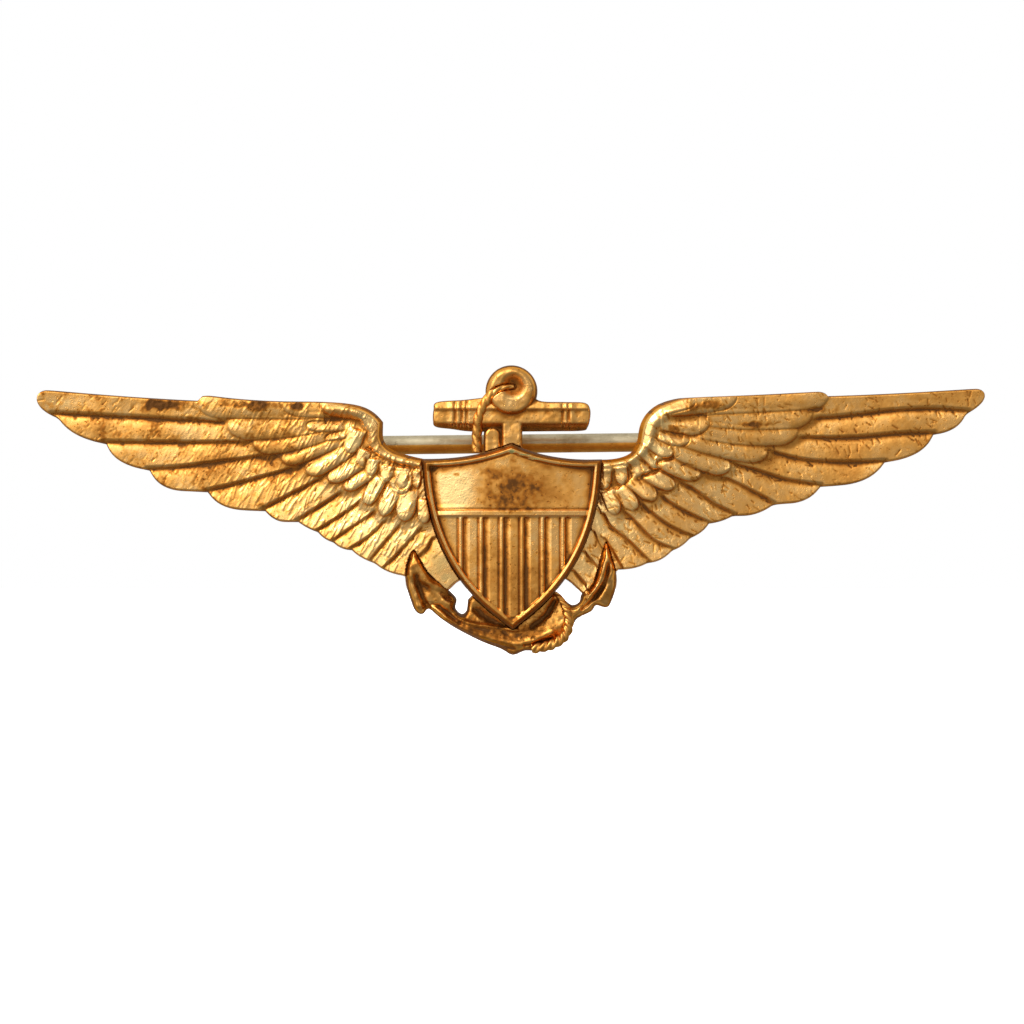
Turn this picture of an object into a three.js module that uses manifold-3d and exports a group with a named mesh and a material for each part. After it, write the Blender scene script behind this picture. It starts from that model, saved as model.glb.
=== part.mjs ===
/**
 * Pilot's wings pin.
 *
 * A gilt breast badge: two feathered wings, a shield and an anchor with its rope, struck
 * separately and soldered together, with a hinged pin stem and a rolling safety catch behind.
 *
 * Millimetres. +Z is up, -Y faces the onlooker and +X is the onlooker's right. The origin is
 * the centre of the badge's flat back, which lies in the plane Y = 0. Outlines are drawn in
 * X and Z, and a depth is a distance forward of the back plane, towards -Y.
 */
import * as THREE from 'three';
import { mergeVertices } from 'three/addons/utils/BufferGeometryUtils.js';
import Module from 'manifold-3d';

const wasm = await Module();
wasm.setup();

// ---------------------------------------------------------------- driving dimensions

const SOLDER_GAP = 0.04; // between pieces that are soldered face to face
const SEAT_DEPTH = 0.7; // what is left of a piece that another one sits on
const BEYOND = 4; // a cut's reach past the front of everything
const WIDE = 10; // and past the shield's sides

const FEATHER_DEPTH = 1.15; // long flight feathers
const COVERT_DEPTH = 1.55; // short feathers that overlap their roots
const GROOVE_DEPTH = 0.3;
const GROOVE_WIDTH = 0.28;
const ROOT_EDGE = 1.6; // half the channel that the wings leave for the shank

const SHIELD_FIELD_DEPTH = 2.15;
const SHIELD_RIM_DEPTH = 2.5;
const SHIELD_RIM_WIDTH = 0.75;
const SHIELD_BAR = { bottom: -0.5, top: 0, depth: 2.4 };
const STRIPE_PITCH = 1.5; // one raised stripe and one sunk stripe
const STRIPE_CENTRE = 0.17; // the middle stripe is a little right of the badge's centre
const SUNK_STRIPES_PER_SIDE = 3;
const SUNK_STRIPE_DEPTH = 0.2;

const RING = { x: 0, z: 8.77, radius: 1.92, depth: 1.6 };
const RING_DIMPLE = { x: 0.12, z: 9.2, radius: 1.0, depth: 0.9 };
const DIMPLE_IN_STOCK = 0.6; // the dimple's radius where the stock crosses it
const STOCK_DEPTH = 1.5;
const SHANK_DEPTH = 1.25;
const SHANK_HALF_WIDTH = 1.35; // in the channel between the wings
const ARM_DEPTH = 1.5;
const ROPE_RADIUS = 0.4;
const ROPE_SIDES = 8;

const STEM_BEHIND = 2.15; // from the badge's back to the stem's axis
const STEM_HEIGHT = 4.95; // of the stem's axis above the origin, at X = 0
const STEM_RISE = THREE.MathUtils.degToRad(0.64); // the stem climbs to the right
const STEM_RADIUS = 0.7;
const HINGE_X = -17.7;
const CATCH_X = 17.5;
const PAD_THICKNESS = 0.35;
const SHEET_THICKNESS = 0.4; // of the hinge bracket
const RUNNING_CLEARANCE = 0.06;
const PAD_CORNER = 0.9;
const RIVET_RADIUS = 0.4;
const RIVET_HEAD = { radius: 0.72, height: 0.32 };
const KNUCKLE = { radius: 0.92, halfLength: 0.72 };
const SHANK_START = 0.6; // of the stem, inside its knuckle
const STEM_TAPER = [ // distance from the hinge and radius
  [27.6, STEM_RADIUS], [29.8, 0.61], [32.6, 0.4], [35.6, 0.22], [37.9, 0],
];
const EAR_RADIUS = 1.05;
const ROLLER = { inner: 0.8, outer: 1.27, length: 3.3, openingHalf: 36 };
const HOUSING = { outer: 1.75, length: 3.6, openingHalf: 38, footHalf: 1.1 };
const TAB = { angle: -110, root: 1, reach: 2.6, halfThickness: 0.28, halfWidth: 0.6, travelEnd: -128 };
const THROUGH = 5; // a length or a reach that is sure to pass through a mechanism piece
const ROUND_STEPS = 48;
const CURVE_STEPS = 5;

// ---------------------------------------------------------------- materials

const metal = (color, roughness) =>
  new THREE.MeshStandardMaterial({ color, roughness, metalness: 1, flatShading: true });
const gilt = metal(0xc9953f, 0.35);
const rawBrass = metal(0xa8823f, 0.5);
const nickel = metal(0xb3a989, 0.4);

// ---------------------------------------------------------------- solids

/** A three.js geometry as a manifold solid. */
function solid(geometry) {
  const bare = geometry.clone();
  bare.deleteAttribute('normal');
  bare.deleteAttribute('uv');
  const merged = mergeVertices(bare, 1e-4);
  return new wasm.Manifold(new wasm.Mesh({
    numProp: 3,
    vertProperties: new Float32Array(merged.attributes.position.array),
    triVerts: new Uint32Array(merged.index.array),
  }));
}

function part(name, manifold, material) {
  const mesh = manifold.getMesh();
  const geometry = new THREE.BufferGeometry();
  geometry.setAttribute('position', new THREE.BufferAttribute(mesh.vertProperties, 3));
  geometry.setIndex(new THREE.BufferAttribute(mesh.triVerts, 1));
  geometry.computeVertexNormals();
  const piece = new THREE.Mesh(geometry, material);
  piece.name = name;
  return piece;
}

/** A closed outline from side to side: [x, z] is straight, and 4 or 6 numbers are a curve. */
function outline(start, sides) {
  const path = new THREE.Path();
  path.moveTo(...start);
  for (const side of sides) {
    if (side.length === 2) path.lineTo(...side);
    if (side.length === 4) path.quadraticCurveTo(...side);
    if (side.length === 6) path.bezierCurveTo(...side);
  }
  const points = path.getPoints(CURVE_STEPS);
  if (points.at(-1).distanceTo(points[0]) < 1e-6) points.pop();
  return points;
}

/** An outline moved outwards by a distance, or inwards where the distance is negative. */
function grown(points, distance) {
  const outward = THREE.ShapeUtils.isClockWise(points) ? -1 : 1;
  return points.map((point, i) => {
    const before = point.clone().sub(points.at(i - 1)).normalize();
    const after = points[(i + 1) % points.length].clone().sub(point).normalize();
    const along = before.clone().add(after).normalize();
    const stretch = Math.min(1 / Math.max(along.dot(before), 0.1), 2);
    const normal = new THREE.Vector2(along.y, -along.x);
    return point.clone().addScaledVector(normal, outward * distance * stretch);
  });
}

/** A flat plate of an outline in X and Z, from one depth to another. */
function plate(points, back, front) {
  const shape = new THREE.Shape(points);
  const geometry = new THREE.ExtrudeGeometry(shape, { depth: front - back, bevelEnabled: false });
  geometry.rotateX(Math.PI / 2);
  geometry.translate(0, -back, 0);
  return solid(geometry);
}

/** The outline of a strip that follows a smooth line through some points. */
function ribbon(stops, width) {
  const line = new THREE.SplineCurve(stops.map(([x, z]) => new THREE.Vector2(x, z)));
  const steps = 3 * (stops.length - 1);
  const sides = { above: [], below: [] };
  for (let i = 0; i <= steps; i++) {
    const middle = line.getPoint(i / steps);
    const along = line.getTangent(i / steps);
    const across = new THREE.Vector2(-along.y, along.x).multiplyScalar(width / 2);
    sides.above.push(middle.clone().add(across));
    sides.below.unshift(middle.clone().sub(across));
  }
  return [...sides.above, ...sides.below];
}

function disc({ x, z, radius }) {
  const circle = new THREE.EllipseCurve(x, z, radius, radius);
  return circle.getPoints(ROUND_STEPS).slice(1);
}

function rectangle(left, right, bottom, top) {
  return outline([left, bottom], [[right, bottom], [right, top], [left, top]]);
}

function roundedRectangle(halfX, halfZ, corner) {
  return outline([-halfX, halfZ - corner], [
    [-halfX, halfZ, corner - halfX, halfZ],
    [halfX - corner, halfZ],
    [halfX, halfZ, halfX, halfZ - corner],
    [halfX, corner - halfZ],
    [halfX, -halfZ, halfX - corner, -halfZ],
    [corner - halfX, -halfZ],
    [-halfX, -halfZ, -halfX, corner - halfZ],
  ]);
}

/** A round tube with closed ends along a smooth line through [x, depth, z] points. */
function cable(stops, radius) {
  const points = stops.map(([x, depth, z]) => new THREE.Vector3(x, -depth, z));
  const section = new THREE.Shape(
    new THREE.EllipseCurve(0, 0, radius, radius).getPoints(ROPE_SIDES).slice(1),
  );
  return solid(new THREE.ExtrudeGeometry(section, {
    steps: 3 * (stops.length - 1),
    extrudePath: new THREE.CatmullRomCurve3(points),
    bevelEnabled: false,
  }));
}

// ---------------------------------------------------------------- outlines of the badge

const LEFT_WING = {
  outline: outline([-34.3, 8.87], [
    [-35.15, 8.85, -35.1, 8.05],
    [-34.9, 7.3, -33.5, 6.75],
    [-32.6, 5.3, -29.95, 4.85],
    [-29.5, 3.3, -26.75, 2.9],
    [-26.1, 1.3, -23.8, 1.37],
    [-22.45, 1.3],
    [-21.7, 0, -19.6, -0.05],
    [-18.2, -0.1],
    [-17.5, -0.95, -16.6, -0.9],
    [-15.75, -0.9],
    [-15.1, -1.4, -14.3, -1.65],
    [-13.9, -2.2, -13.15, -2.42],
    [-12.6, -2.98, -11.8, -2.98],
    [-11.2, -3.6, -10.1, -3.95],
    [-9.3, -4.7, -7.9, -4.88],
    [-4.75, -6.05],
    [-4.45, -5.75],
    [-3.9, -5.2],
    [-ROOT_EDGE, -4.4],
    [-ROOT_EDGE, 3.2],
    [-6.1, 3.2],
    [-6.5, 3.78],
    [-7.6, 3.98, -8.6, 4.35],
    [-9.4, 4.7, -9.52, 5.4],
    [-9.5, 6.5],
    [-10.2, 7.5, -11.4, 7.75],
    [-12.5, 8, -15, 8.02],
    [-19, 7.98, -22.4, 8.47],
    [-22.85, 8.42],
    [-23.2, 8.08],
    [-28, 8.3, -34.3, 8.87],
  ]),
  coverts: outline([-23.05, 8.1], [
    [-22.8, 6.9, -20.75, 6.55],
    [-20.1, 5.2, -18.9, 4.95],
    [-18.2, 3.95, -17, 3.85],
    [-16.2, 3.05, -15.25, 2.98],
    [-14.5, 2.35, -13.5, 2.3],
    [-13.1, 1.85, -12.3, 1.6],
    [-11.8, 1.15, -11.05, 0.85],
    [-10.5, -0.1, -9.75, 0.2],
    [-9.4, -0.8, -8.5, -0.3],
    [-7.9, -1.3, -6.95, -0.4],
    [-6.4, -1.2, -5.6, -1],
    [-3, -1],
    [-3, 9],
    [-23.05, 9],
  ]),
  featherGrooves: [
    [[-33.7, 6.95], [-30, 6.82], [-26, 6.56], [-20, 6.4]],
    [[-29.9, 4.87], [-25, 4.86], [-19, 4.95]],
    [[-26.7, 2.95], [-24.5, 3.05], [-21.5, 3.45], [-17, 4.1]],
    [[-22.3, 1.37], [-20, 1.87], [-17.8, 2.55], [-15, 3.2]],
    [[-18.2, 0], [-16.5, 0.9], [-14, 2.3]],
    [[-15.7, -0.9], [-14, 0.2], [-12, 1.5]],
    [[-14.3, -1.6], [-12.8, -0.7], [-10.8, 0.6]],
    [[-13.1, -2.35], [-11.6, -1.3], [-9.8, 0]],
    [[-11.8, -2.95], [-10.4, -2], [-8.9, -0.5]],
    [[-10.2, -3.85], [-9.4, -2.6], [-7.8, -0.8]],
    [[-9.4, -4.5], [-8, -3], [-6.3, -1]],
  ],
  covertGrooves: [
    [[-22, 6.85], [-18, 6.55], [-15.9, 6.75], [-13.2, 6.9], [-11, 6.1], [-10.5, 5.2]],
    [[-19.5, 5.13], [-17.3, 5.22], [-14.7, 5.78]],
    [[-17.8, 3.88], [-15.5, 4.4], [-13.6, 5.25]],
    [[-15.7, 3.05], [-14.3, 4], [-12.9, 4.8]],
    [[-14.1, 2.4], [-13, 3.05], [-11.7, 4.05]],
    [[-12.9, 1.9], [-11.9, 2.25], [-10.9, 3.15]],
    [[-11.6, 1.2], [-10.8, 1.8], [-10.1, 2.5]],
    [[-10.5, 4.3], [-9.3, 3.75], [-8, 3.3], [-6.7, 3.1]],
  ],
};

const RIGHT_WING = {
  outline: outline([34.3, 8.97], [
    [35.05, 8.95, 35, 8.35],
    [34.95, 7.8, 33.6, 7.05],
    [33.1, 5.75, 31.2, 5.55],
    [30.6, 3.85, 27.6, 3.5],
    [26.6, 1.85, 23.9, 1.77],
    [22.85, 1.7],
    [22, 0.42, 20.2, 0.45],
    [19.35, 0.37],
    [18.3, -0.42, 17.1, -0.45],
    [16.35, -0.45],
    [15.6, -0.9, 14.6, -1.02],
    [14.2, -1.7, 13.2, -2.1],
    [12.6, -2.8, 11.9, -3],
    [11.1, -3.9, 10.05, -3.93],
    [9.2, -4.42, 7.9, -4.42],
    [5.6, -6.55],
    [5.15, -6.1],
    [4, -5],
    [ROOT_EDGE, -4.2],
    [ROOT_EDGE, 3.2],
    [6.2, 3.2],
    [6.6, 3.72],
    [8.1, 3.7, 8.8, 4.2],
    [9.3, 4.7, 9.4, 5.7],
    [9.5, 6.6, 10.1, 7.25],
    [10.8, 8.05, 12.6, 8.3],
    [18, 8.5],
    [22.6, 8.75],
    [23.2, 8.75, 23.4, 8.42],
    [28, 8.55, 34.3, 8.97],
  ]),
  coverts: outline([23.3, 8.4], [
    [22.9, 7.3, 21.9, 7.2],
    [21.7, 6.2, 20.8, 6],
    [20.4, 4.7, 18.8, 4.5],
    [18, 3.3, 16.3, 3.3],
    [15.6, 2.4, 14, 2.5],
    [13.3, 2, 12.1, 2],
    [11.6, 1.2, 10.7, 1.3],
    [10.2, 0.3, 9.3, 0.6],
    [9, -0.5, 8, 0.15],
    [7.6, -0.8, 6.9, 0.1],
    [5.6, 0],
    [3, 0],
    [3, 9.2],
    [23.3, 9.2],
  ]),
  featherGrooves: [
    [[33.7, 7.3], [29.5, 7.3], [25.5, 6.88], [21, 6.6]],
    [[31.2, 5.62], [28.5, 5.5], [24, 5.2], [20.5, 5.5]],
    [[27.5, 3.5], [24.5, 3.4], [21.5, 3.6], [18, 4.5]],
    [[22.7, 1.8], [20.3, 2.1], [17.8, 2.9], [15, 3.6]],
    [[19.3, 0.6], [17.5, 1.4], [15, 2.5]],
    [[16.3, -0.35], [14.8, 0.4], [12, 2.3]],
    [[14.5, -1.05], [12.9, -0.3], [10.5, 1.3]],
    [[13.2, -2.05], [11.3, -1.1], [9.4, 0.5]],
    [[11.9, -3], [10.2, -2.1], [8.1, 0]],
    [[10.05, -3.9], [8.4, -2.3], [6.7, -0.3]],
  ],
  covertGrooves: [
    [[22, 7.4], [20, 7.35], [16.5, 7.05], [14.3, 6.7], [11.6, 6.55], [10.6, 6]],
    [[20.8, 6], [18.5, 5.9], [16.5, 6.2], [14.7, 6.4]],
    [[18.8, 4.55], [16.5, 4.95], [14.2, 5.42]],
    [[17.2, 3.35], [15.5, 3.8], [13, 4.85]],
    [[14.9, 2.45], [13.6, 3], [12, 4.1]],
    [[12.8, 2.05], [11.9, 2.4], [11, 3.1]],
    [[14.6, 6.6], [13.9, 5.6], [12.5, 5.4], [11, 5.8]],
    [[6.8, 3], [8.3, 3.4], [9.4, 4], [10.2, 5.2], [10.4, 6]],
  ],
};

const SHIELD_TIP = [0.1, -8.8];
const SHIELD_APEX = [0, 4.85];
const SHIELD_OUTLINE = outline([-6.6, 3.75], [
  [-6.5, -1.1, -4.8, -5.8, ...SHIELD_TIP],
  [5, -5.6, 6.65, -1, 6.65, 3.72],
  [3, 3.5, ...SHIELD_APEX],
  [-3, 3.65, -6.6, 3.75],
]);

const STOCK_OUTLINE = outline([-5.5, 7.97], [
  [-5.85, 7.5, -5.78, 6.3],
  [-5.6, 6.15],
  [-2.9, 5.8],
  [5.2, 5.85],
  [5.7, 5.95, 5.8, 6.7],
  [6, 7.9, 5.2, 7.95],
  [1.95, 8.1],
  [1, 8.6],
  [-1, 8.6],
  [-1.95, 8.3],
]);

const SHANK_OUTLINE = outline([-SHANK_HALF_WIDTH, -6.2], [
  [SHANK_HALF_WIDTH, -6.2],
  [SHANK_HALF_WIDTH, 3.1],
  [0.82, 3.6],
  [0.82, 6],
  [-2.05, 6],
  [-2.05, 3.6],
  [-SHANK_HALF_WIDTH, 3.1],
]);

/** Both arms and flukes and the crown, with the two holes' edges left open. */
const ARMS_OUTLINE = outline([-7.2, -2.9], [
  [-8.2, -4.6, -7.55, -6.4],
  [-7.2, -7.7, -6.5, -7.7],
  [-6.1, -7.3],
  [-4.6, -8.6, -2.2, -9.75],
  [-0.6, -10.35],
  [0.1, -10.75],
  [1, -10.4],
  [3.2, -9.9, 4.7, -8.2],
  [5.9, -7.5],
  [6.15, -7.05],
  [6.9, -7.5, 7.35, -6.9],
  [8.4, -4.9, 7, -2.2],
  [6.6, -3, 6.3, -4.4],
  [6.1, -5.4, 5.2, -6.15],
  [5.05, -6.85],
  [4.5, -7.05],
  [4, -6.7],
  [3.2, -6.1],
  [-2.9, -6.3],
  [-3.3, -7.4],
  [-3.7, -7.7],
  [-4.2, -7.2],
  [-4.05, -6.6],
  [-4.45, -6.1],
  [-5.1, -5.5],
  [-6.1, -4.6, -6.8, -3.4],
]);

const UPPER_ROPE = [
  [0.15, 1.15, 9.1],
  [-1, 1.3, 8.9],
  [-1.9, 1.3, 8.1],
  [-2.35, 1.25, 7.2],
  [-2.55, 1.1, 6.4],
  [-2.55, 0.9, 5.3],
  [-2.55, 0.85, 4.25],
];
const LOWER_ROPE = [
  [3.2, 1, -6.1],
  [3.9, 1.3, -6.9],
  [4.25, 1.4, -8],
  [3.9, 1.4, -9.2],
  [2.9, 1.3, -10],
  [1.4, 1.25, -10.2],
];

// ---------------------------------------------------------------- the badge

const shieldSeat = plate(grown(SHIELD_OUTLINE, SOLDER_GAP), SEAT_DEPTH, BEYOND);
const armsSeat = plate(grown(ARMS_OUTLINE, SOLDER_GAP), SEAT_DEPTH, BEYOND);

function cutGrooves(manifold, lines, depth) {
  for (const line of lines) {
    manifold = manifold.subtract(plate(ribbon(line, GROOVE_WIDTH), depth - GROOVE_DEPTH, BEYOND));
  }
  return manifold;
}

function wing(drawing) {
  const feathers = cutGrooves(
    plate(drawing.outline, 0, FEATHER_DEPTH), drawing.featherGrooves, FEATHER_DEPTH,
  );
  const covertRows = cutGrooves(
    plate(drawing.coverts, 0, COVERT_DEPTH).intersect(plate(drawing.outline, 0, COVERT_DEPTH)),
    drawing.covertGrooves,
    COVERT_DEPTH,
  );
  return feathers.add(covertRows).subtract(shieldSeat).subtract(armsSeat);
}

function shield() {
  const back = SEAT_DEPTH + SOLDER_GAP;
  const field = grown(SHIELD_OUTLINE, -SHIELD_RIM_WIDTH);
  const belowBar = rectangle(-WIDE, WIDE, -WIDE, SHIELD_BAR.bottom);
  const lowerField = plate(field, 0, BEYOND).intersect(plate(belowBar, 0, BEYOND));
  const bar = outline([-5.6, SHIELD_BAR.top], [
    [5.7, SHIELD_BAR.top], [5.6, SHIELD_BAR.bottom], [-5.5, SHIELD_BAR.bottom],
  ]);
  let body = plate(SHIELD_OUTLINE, back, SHIELD_RIM_DEPTH)
    .subtract(plate(field, SHIELD_FIELD_DEPTH, BEYOND))
    .add(plate(bar, back, SHIELD_BAR.depth));
  const floor = SHIELD_FIELD_DEPTH - SUNK_STRIPE_DEPTH;
  for (let i = 0; i < 2 * SUNK_STRIPES_PER_SIDE; i++) {
    const x = STRIPE_CENTRE + (i - SUNK_STRIPES_PER_SIDE + 0.5) * STRIPE_PITCH;
    const halfWidth = STRIPE_PITCH / 4;
    const stripe = rectangle(x - halfWidth, x + halfWidth, -WIDE, SHIELD_BAR.bottom);
    body = body.subtract(plate(stripe, floor, BEYOND).intersect(lowerField));
  }
  return body;
}

function anchor(rope) {
  const wings = [LEFT_WING, RIGHT_WING].map(
    (drawing) => plate(grown(drawing.outline, SOLDER_GAP), -1, SEAT_DEPTH + SOLDER_GAP),
  );
  const arms = plate(ARMS_OUTLINE, 0, ARM_DEPTH).subtract(wings[0]).subtract(wings[1]);
  const dimpleInStock = { ...RING_DIMPLE, radius: DIMPLE_IN_STOCK };
  return plate(disc(RING), 0, RING.depth)
    .subtract(plate(disc(RING_DIMPLE), RING_DIMPLE.depth, BEYOND))
    .add(plate(STOCK_OUTLINE, 0, STOCK_DEPTH))
    .add(plate(SHANK_OUTLINE, 0, SHANK_DEPTH))
    .subtract(plate(disc(dimpleInStock), RING_DIMPLE.depth, BEYOND))
    .add(arms)
    .subtract(shieldSeat)
    .subtract(rope);
}

const behindShield = plate(grown(SHIELD_OUTLINE, SOLDER_GAP), -1, BEYOND);
const ropeLengths = [UPPER_ROPE, LOWER_ROPE];
const ropeGroove = wasm.Manifold.union(
  ropeLengths.map((stops) => cable(stops, ROPE_RADIUS + SOLDER_GAP)),
);
const [upperRope, lowerRope] = ropeLengths.map(
  (stops) => cable(stops, ROPE_RADIUS).subtract(behindShield),
);

// ---------------------------------------------------------------- the mechanism
// Drawn about the stem's axis, which is its X axis. +Y still points away from the badge.

const BADGE_BACK = -STEM_BEHIND;
const PAD_TOP = BADGE_BACK + SOLDER_GAP + PAD_THICKNESS;
const FOOT = PAD_TOP + SOLDER_GAP; // where a bracket or a housing stands on its pad
const EAR_INNER = KNUCKLE.halfLength + RUNNING_CLEARANCE;
const EAR_OUTER = EAR_INNER + SHEET_THICKNESS;

/** A solid of a section in Y and Z, from one X to another. */
function bar(points, fromX, toX) {
  const geometry = new THREE.ExtrudeGeometry(new THREE.Shape(points), {
    depth: toX - fromX, bevelEnabled: false,
  });
  const turn = new THREE.Matrix4().makeBasis(
    new THREE.Vector3(0, 1, 0), new THREE.Vector3(0, 0, 1), new THREE.Vector3(1, 0, 0),
  );
  geometry.applyMatrix4(turn);
  geometry.translate(fromX, 0, 0);
  return solid(geometry);
}

/** A wedge about the X axis between two angles in degrees, counted from +Y towards +Z. */
function wedge(fromAngle, toAngle, halfLength) {
  const start = THREE.MathUtils.degToRad(fromAngle);
  const end = THREE.MathUtils.degToRad(toAngle);
  const arc = new THREE.EllipseCurve(0, 0, THROUGH, THROUGH, start, end);
  return bar([new THREE.Vector2(0, 0), ...arc.getPoints(CURVE_STEPS)], -halfLength, halfLength);
}

function cylinderAlongX(radius, length) {
  return bar(disc({ x: 0, z: 0, radius }), -length / 2, length / 2);
}

function cylinderAlongZ(radius, length) {
  const shape = new THREE.Shape(disc({ x: 0, z: 0, radius }));
  const geometry = new THREE.ExtrudeGeometry(shape, { depth: length, bevelEnabled: false });
  geometry.translate(0, 0, -length / 2);
  return solid(geometry);
}

function pad(halfX, halfZ) {
  const top = -PAD_TOP;
  return plate(roundedRectangle(halfX, halfZ, PAD_CORNER), top, top + PAD_THICKNESS);
}

function hingeBracket() {
  const base = new THREE.BoxGeometry(2 * EAR_RADIUS, SHEET_THICKNESS, 2 * EAR_OUTER);
  base.translate(0, FOOT + SHEET_THICKNESS / 2, 0);
  const roundEnd = new THREE.EllipseCurve(0, 0, EAR_RADIUS, EAR_RADIUS, 0, Math.PI);
  const earShape = new THREE.Shape([
    ...roundEnd.getPoints(ROUND_STEPS / 2),
    new THREE.Vector2(-EAR_RADIUS, FOOT),
    new THREE.Vector2(EAR_RADIUS, FOOT),
  ]);
  let bracket = solid(base);
  for (const bottom of [-EAR_OUTER, EAR_INNER]) {
    const ear = new THREE.ExtrudeGeometry(earShape, { depth: SHEET_THICKNESS, bevelEnabled: false });
    ear.translate(0, 0, bottom);
    bracket = bracket.add(solid(ear));
  }
  return bracket.subtract(cylinderAlongZ(RIVET_RADIUS + SOLDER_GAP, THROUGH));
}

/** A rivet between two domed heads, each a low dome in two facets. */
function hingeRivet() {
  const under = EAR_OUTER + SOLDER_GAP;
  const dome = [[1, 0], [0.65, 0.76], [0.16, 0.99]].map(([across, up]) => (
    new THREE.Vector2(across * RIVET_HEAD.radius, under + up * RIVET_HEAD.height)
  ));
  const upperHalf = [
    new THREE.Vector2(RIVET_RADIUS, under), ...dome, new THREE.Vector2(0, under + RIVET_HEAD.height),
  ];
  const lowerHalf = upperHalf.map(({ x, y }) => new THREE.Vector2(x, -y)).reverse();
  const geometry = new THREE.LatheGeometry([...lowerHalf, ...upperHalf], ROUND_STEPS / 2);
  geometry.rotateX(Math.PI / 2);
  return solid(geometry);
}

/** The stem about its hinge: a bored knuckle, a straight shank and a long tapered point. */
function pinStem() {
  const profile = [[SHANK_START, 0], [SHANK_START, STEM_RADIUS], ...STEM_TAPER];
  const shank = new THREE.LatheGeometry(
    profile.map(([x, radius]) => new THREE.Vector2(radius, x)), ROUND_STEPS / 2,
  );
  shank.rotateZ(-Math.PI / 2);
  return cylinderAlongZ(KNUCKLE.radius, 2 * KNUCKLE.halfLength)
    .add(solid(shank))
    .subtract(cylinderAlongZ(RIVET_RADIUS + RUNNING_CLEARANCE, THROUGH));
}

function catchHousing() {
  const bore = ROLLER.outer + RUNNING_CLEARANCE;
  const half = HOUSING.length / 2;
  const foot = bar(rectangle(FOOT, 0, -HOUSING.footHalf, HOUSING.footHalf), -half, half);
  const clearOfPad = bar(rectangle(FOOT, THROUGH, -THROUGH, THROUGH), -THROUGH, THROUGH);
  const tabSlot = TAB.halfWidth + RUNNING_CLEARANCE;
  return cylinderAlongX(HOUSING.outer, HOUSING.length)
    .intersect(clearOfPad)
    .add(foot)
    .subtract(cylinderAlongX(bore, THROUGH))
    .subtract(wedge(-HOUSING.openingHalf, HOUSING.openingHalf, THROUGH))
    .subtract(wedge(TAB.travelEnd, 0, tabSlot));
}

function catchRoller() {
  const length = TAB.reach - TAB.root;
  const tab = new THREE.BoxGeometry(2 * TAB.halfWidth, length, 2 * TAB.halfThickness);
  tab.translate(0, TAB.root + length / 2, 0);
  tab.rotateX(THREE.MathUtils.degToRad(TAB.angle));
  return cylinderAlongX(ROLLER.outer, ROLLER.length)
    .add(solid(tab))
    .subtract(cylinderAlongX(ROLLER.inner, THROUGH))
    .subtract(wedge(-ROLLER.openingHalf, ROLLER.openingHalf, THROUGH));
}

// ---------------------------------------------------------------- the assembly

const badge = new THREE.Group();
badge.add(
  part('left_wing', wing(LEFT_WING), gilt),
  part('right_wing', wing(RIGHT_WING), gilt),
  part('shield', shield(), gilt),
  part('anchor', anchor(ropeGroove), gilt),
  part('anchor_rope_upper', upperRope, gilt),
  part('anchor_rope_lower', lowerRope, gilt),
);

const hinge = new THREE.Group();
hinge.position.x = HINGE_X;
hinge.add(
  part('hinge_pad', pad(2.4, 2.6), rawBrass),
  part('hinge_bracket', hingeBracket(), rawBrass),
  part('hinge_rivet', hingeRivet(), nickel),
  part('pin_stem', pinStem(), nickel),
);

const safetyCatch = new THREE.Group();
safetyCatch.position.x = CATCH_X;
safetyCatch.add(
  part('catch_pad', pad(2.6, 2.4), rawBrass),
  part('catch_housing', catchHousing(), rawBrass),
  part('catch_roller', catchRoller(), nickel),
);

const mechanism = new THREE.Group();
mechanism.position.set(0, STEM_BEHIND, STEM_HEIGHT);
mechanism.rotation.y = -STEM_RISE;
mechanism.add(hinge, safetyCatch);

const wingsPin = new THREE.Group();
wingsPin.add(badge, mechanism);

export default wingsPin;
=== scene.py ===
"""Looks of the pilot's wings pin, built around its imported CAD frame.

Everything is in metres in the CAD frame: +Z is up, -Y faces the onlooker and the badge's back
lies in Y = 0. Drawings of the badge's face are in millimetres, in X and Z, and drawn() turns
them into metres. The struck pieces are reliefs: a fine grid inside the piece's outline, pushed
forward by a height function and closed by side walls and a back.
"""

import math

import bmesh
import bpy
import numpy as np
from mathutils import Matrix, Vector


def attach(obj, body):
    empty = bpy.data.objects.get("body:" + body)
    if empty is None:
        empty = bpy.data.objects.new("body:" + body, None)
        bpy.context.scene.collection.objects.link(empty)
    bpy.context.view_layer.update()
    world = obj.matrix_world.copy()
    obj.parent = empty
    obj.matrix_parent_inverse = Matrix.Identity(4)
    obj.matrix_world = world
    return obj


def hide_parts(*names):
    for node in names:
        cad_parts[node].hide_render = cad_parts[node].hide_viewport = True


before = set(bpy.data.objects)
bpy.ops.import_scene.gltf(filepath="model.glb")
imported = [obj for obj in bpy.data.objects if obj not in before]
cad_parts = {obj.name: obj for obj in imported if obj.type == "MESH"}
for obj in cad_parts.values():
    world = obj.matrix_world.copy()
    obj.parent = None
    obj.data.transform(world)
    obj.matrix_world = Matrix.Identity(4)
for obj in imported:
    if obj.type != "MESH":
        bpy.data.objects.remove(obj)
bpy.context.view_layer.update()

MM = 0.001
SEED = 1911

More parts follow.
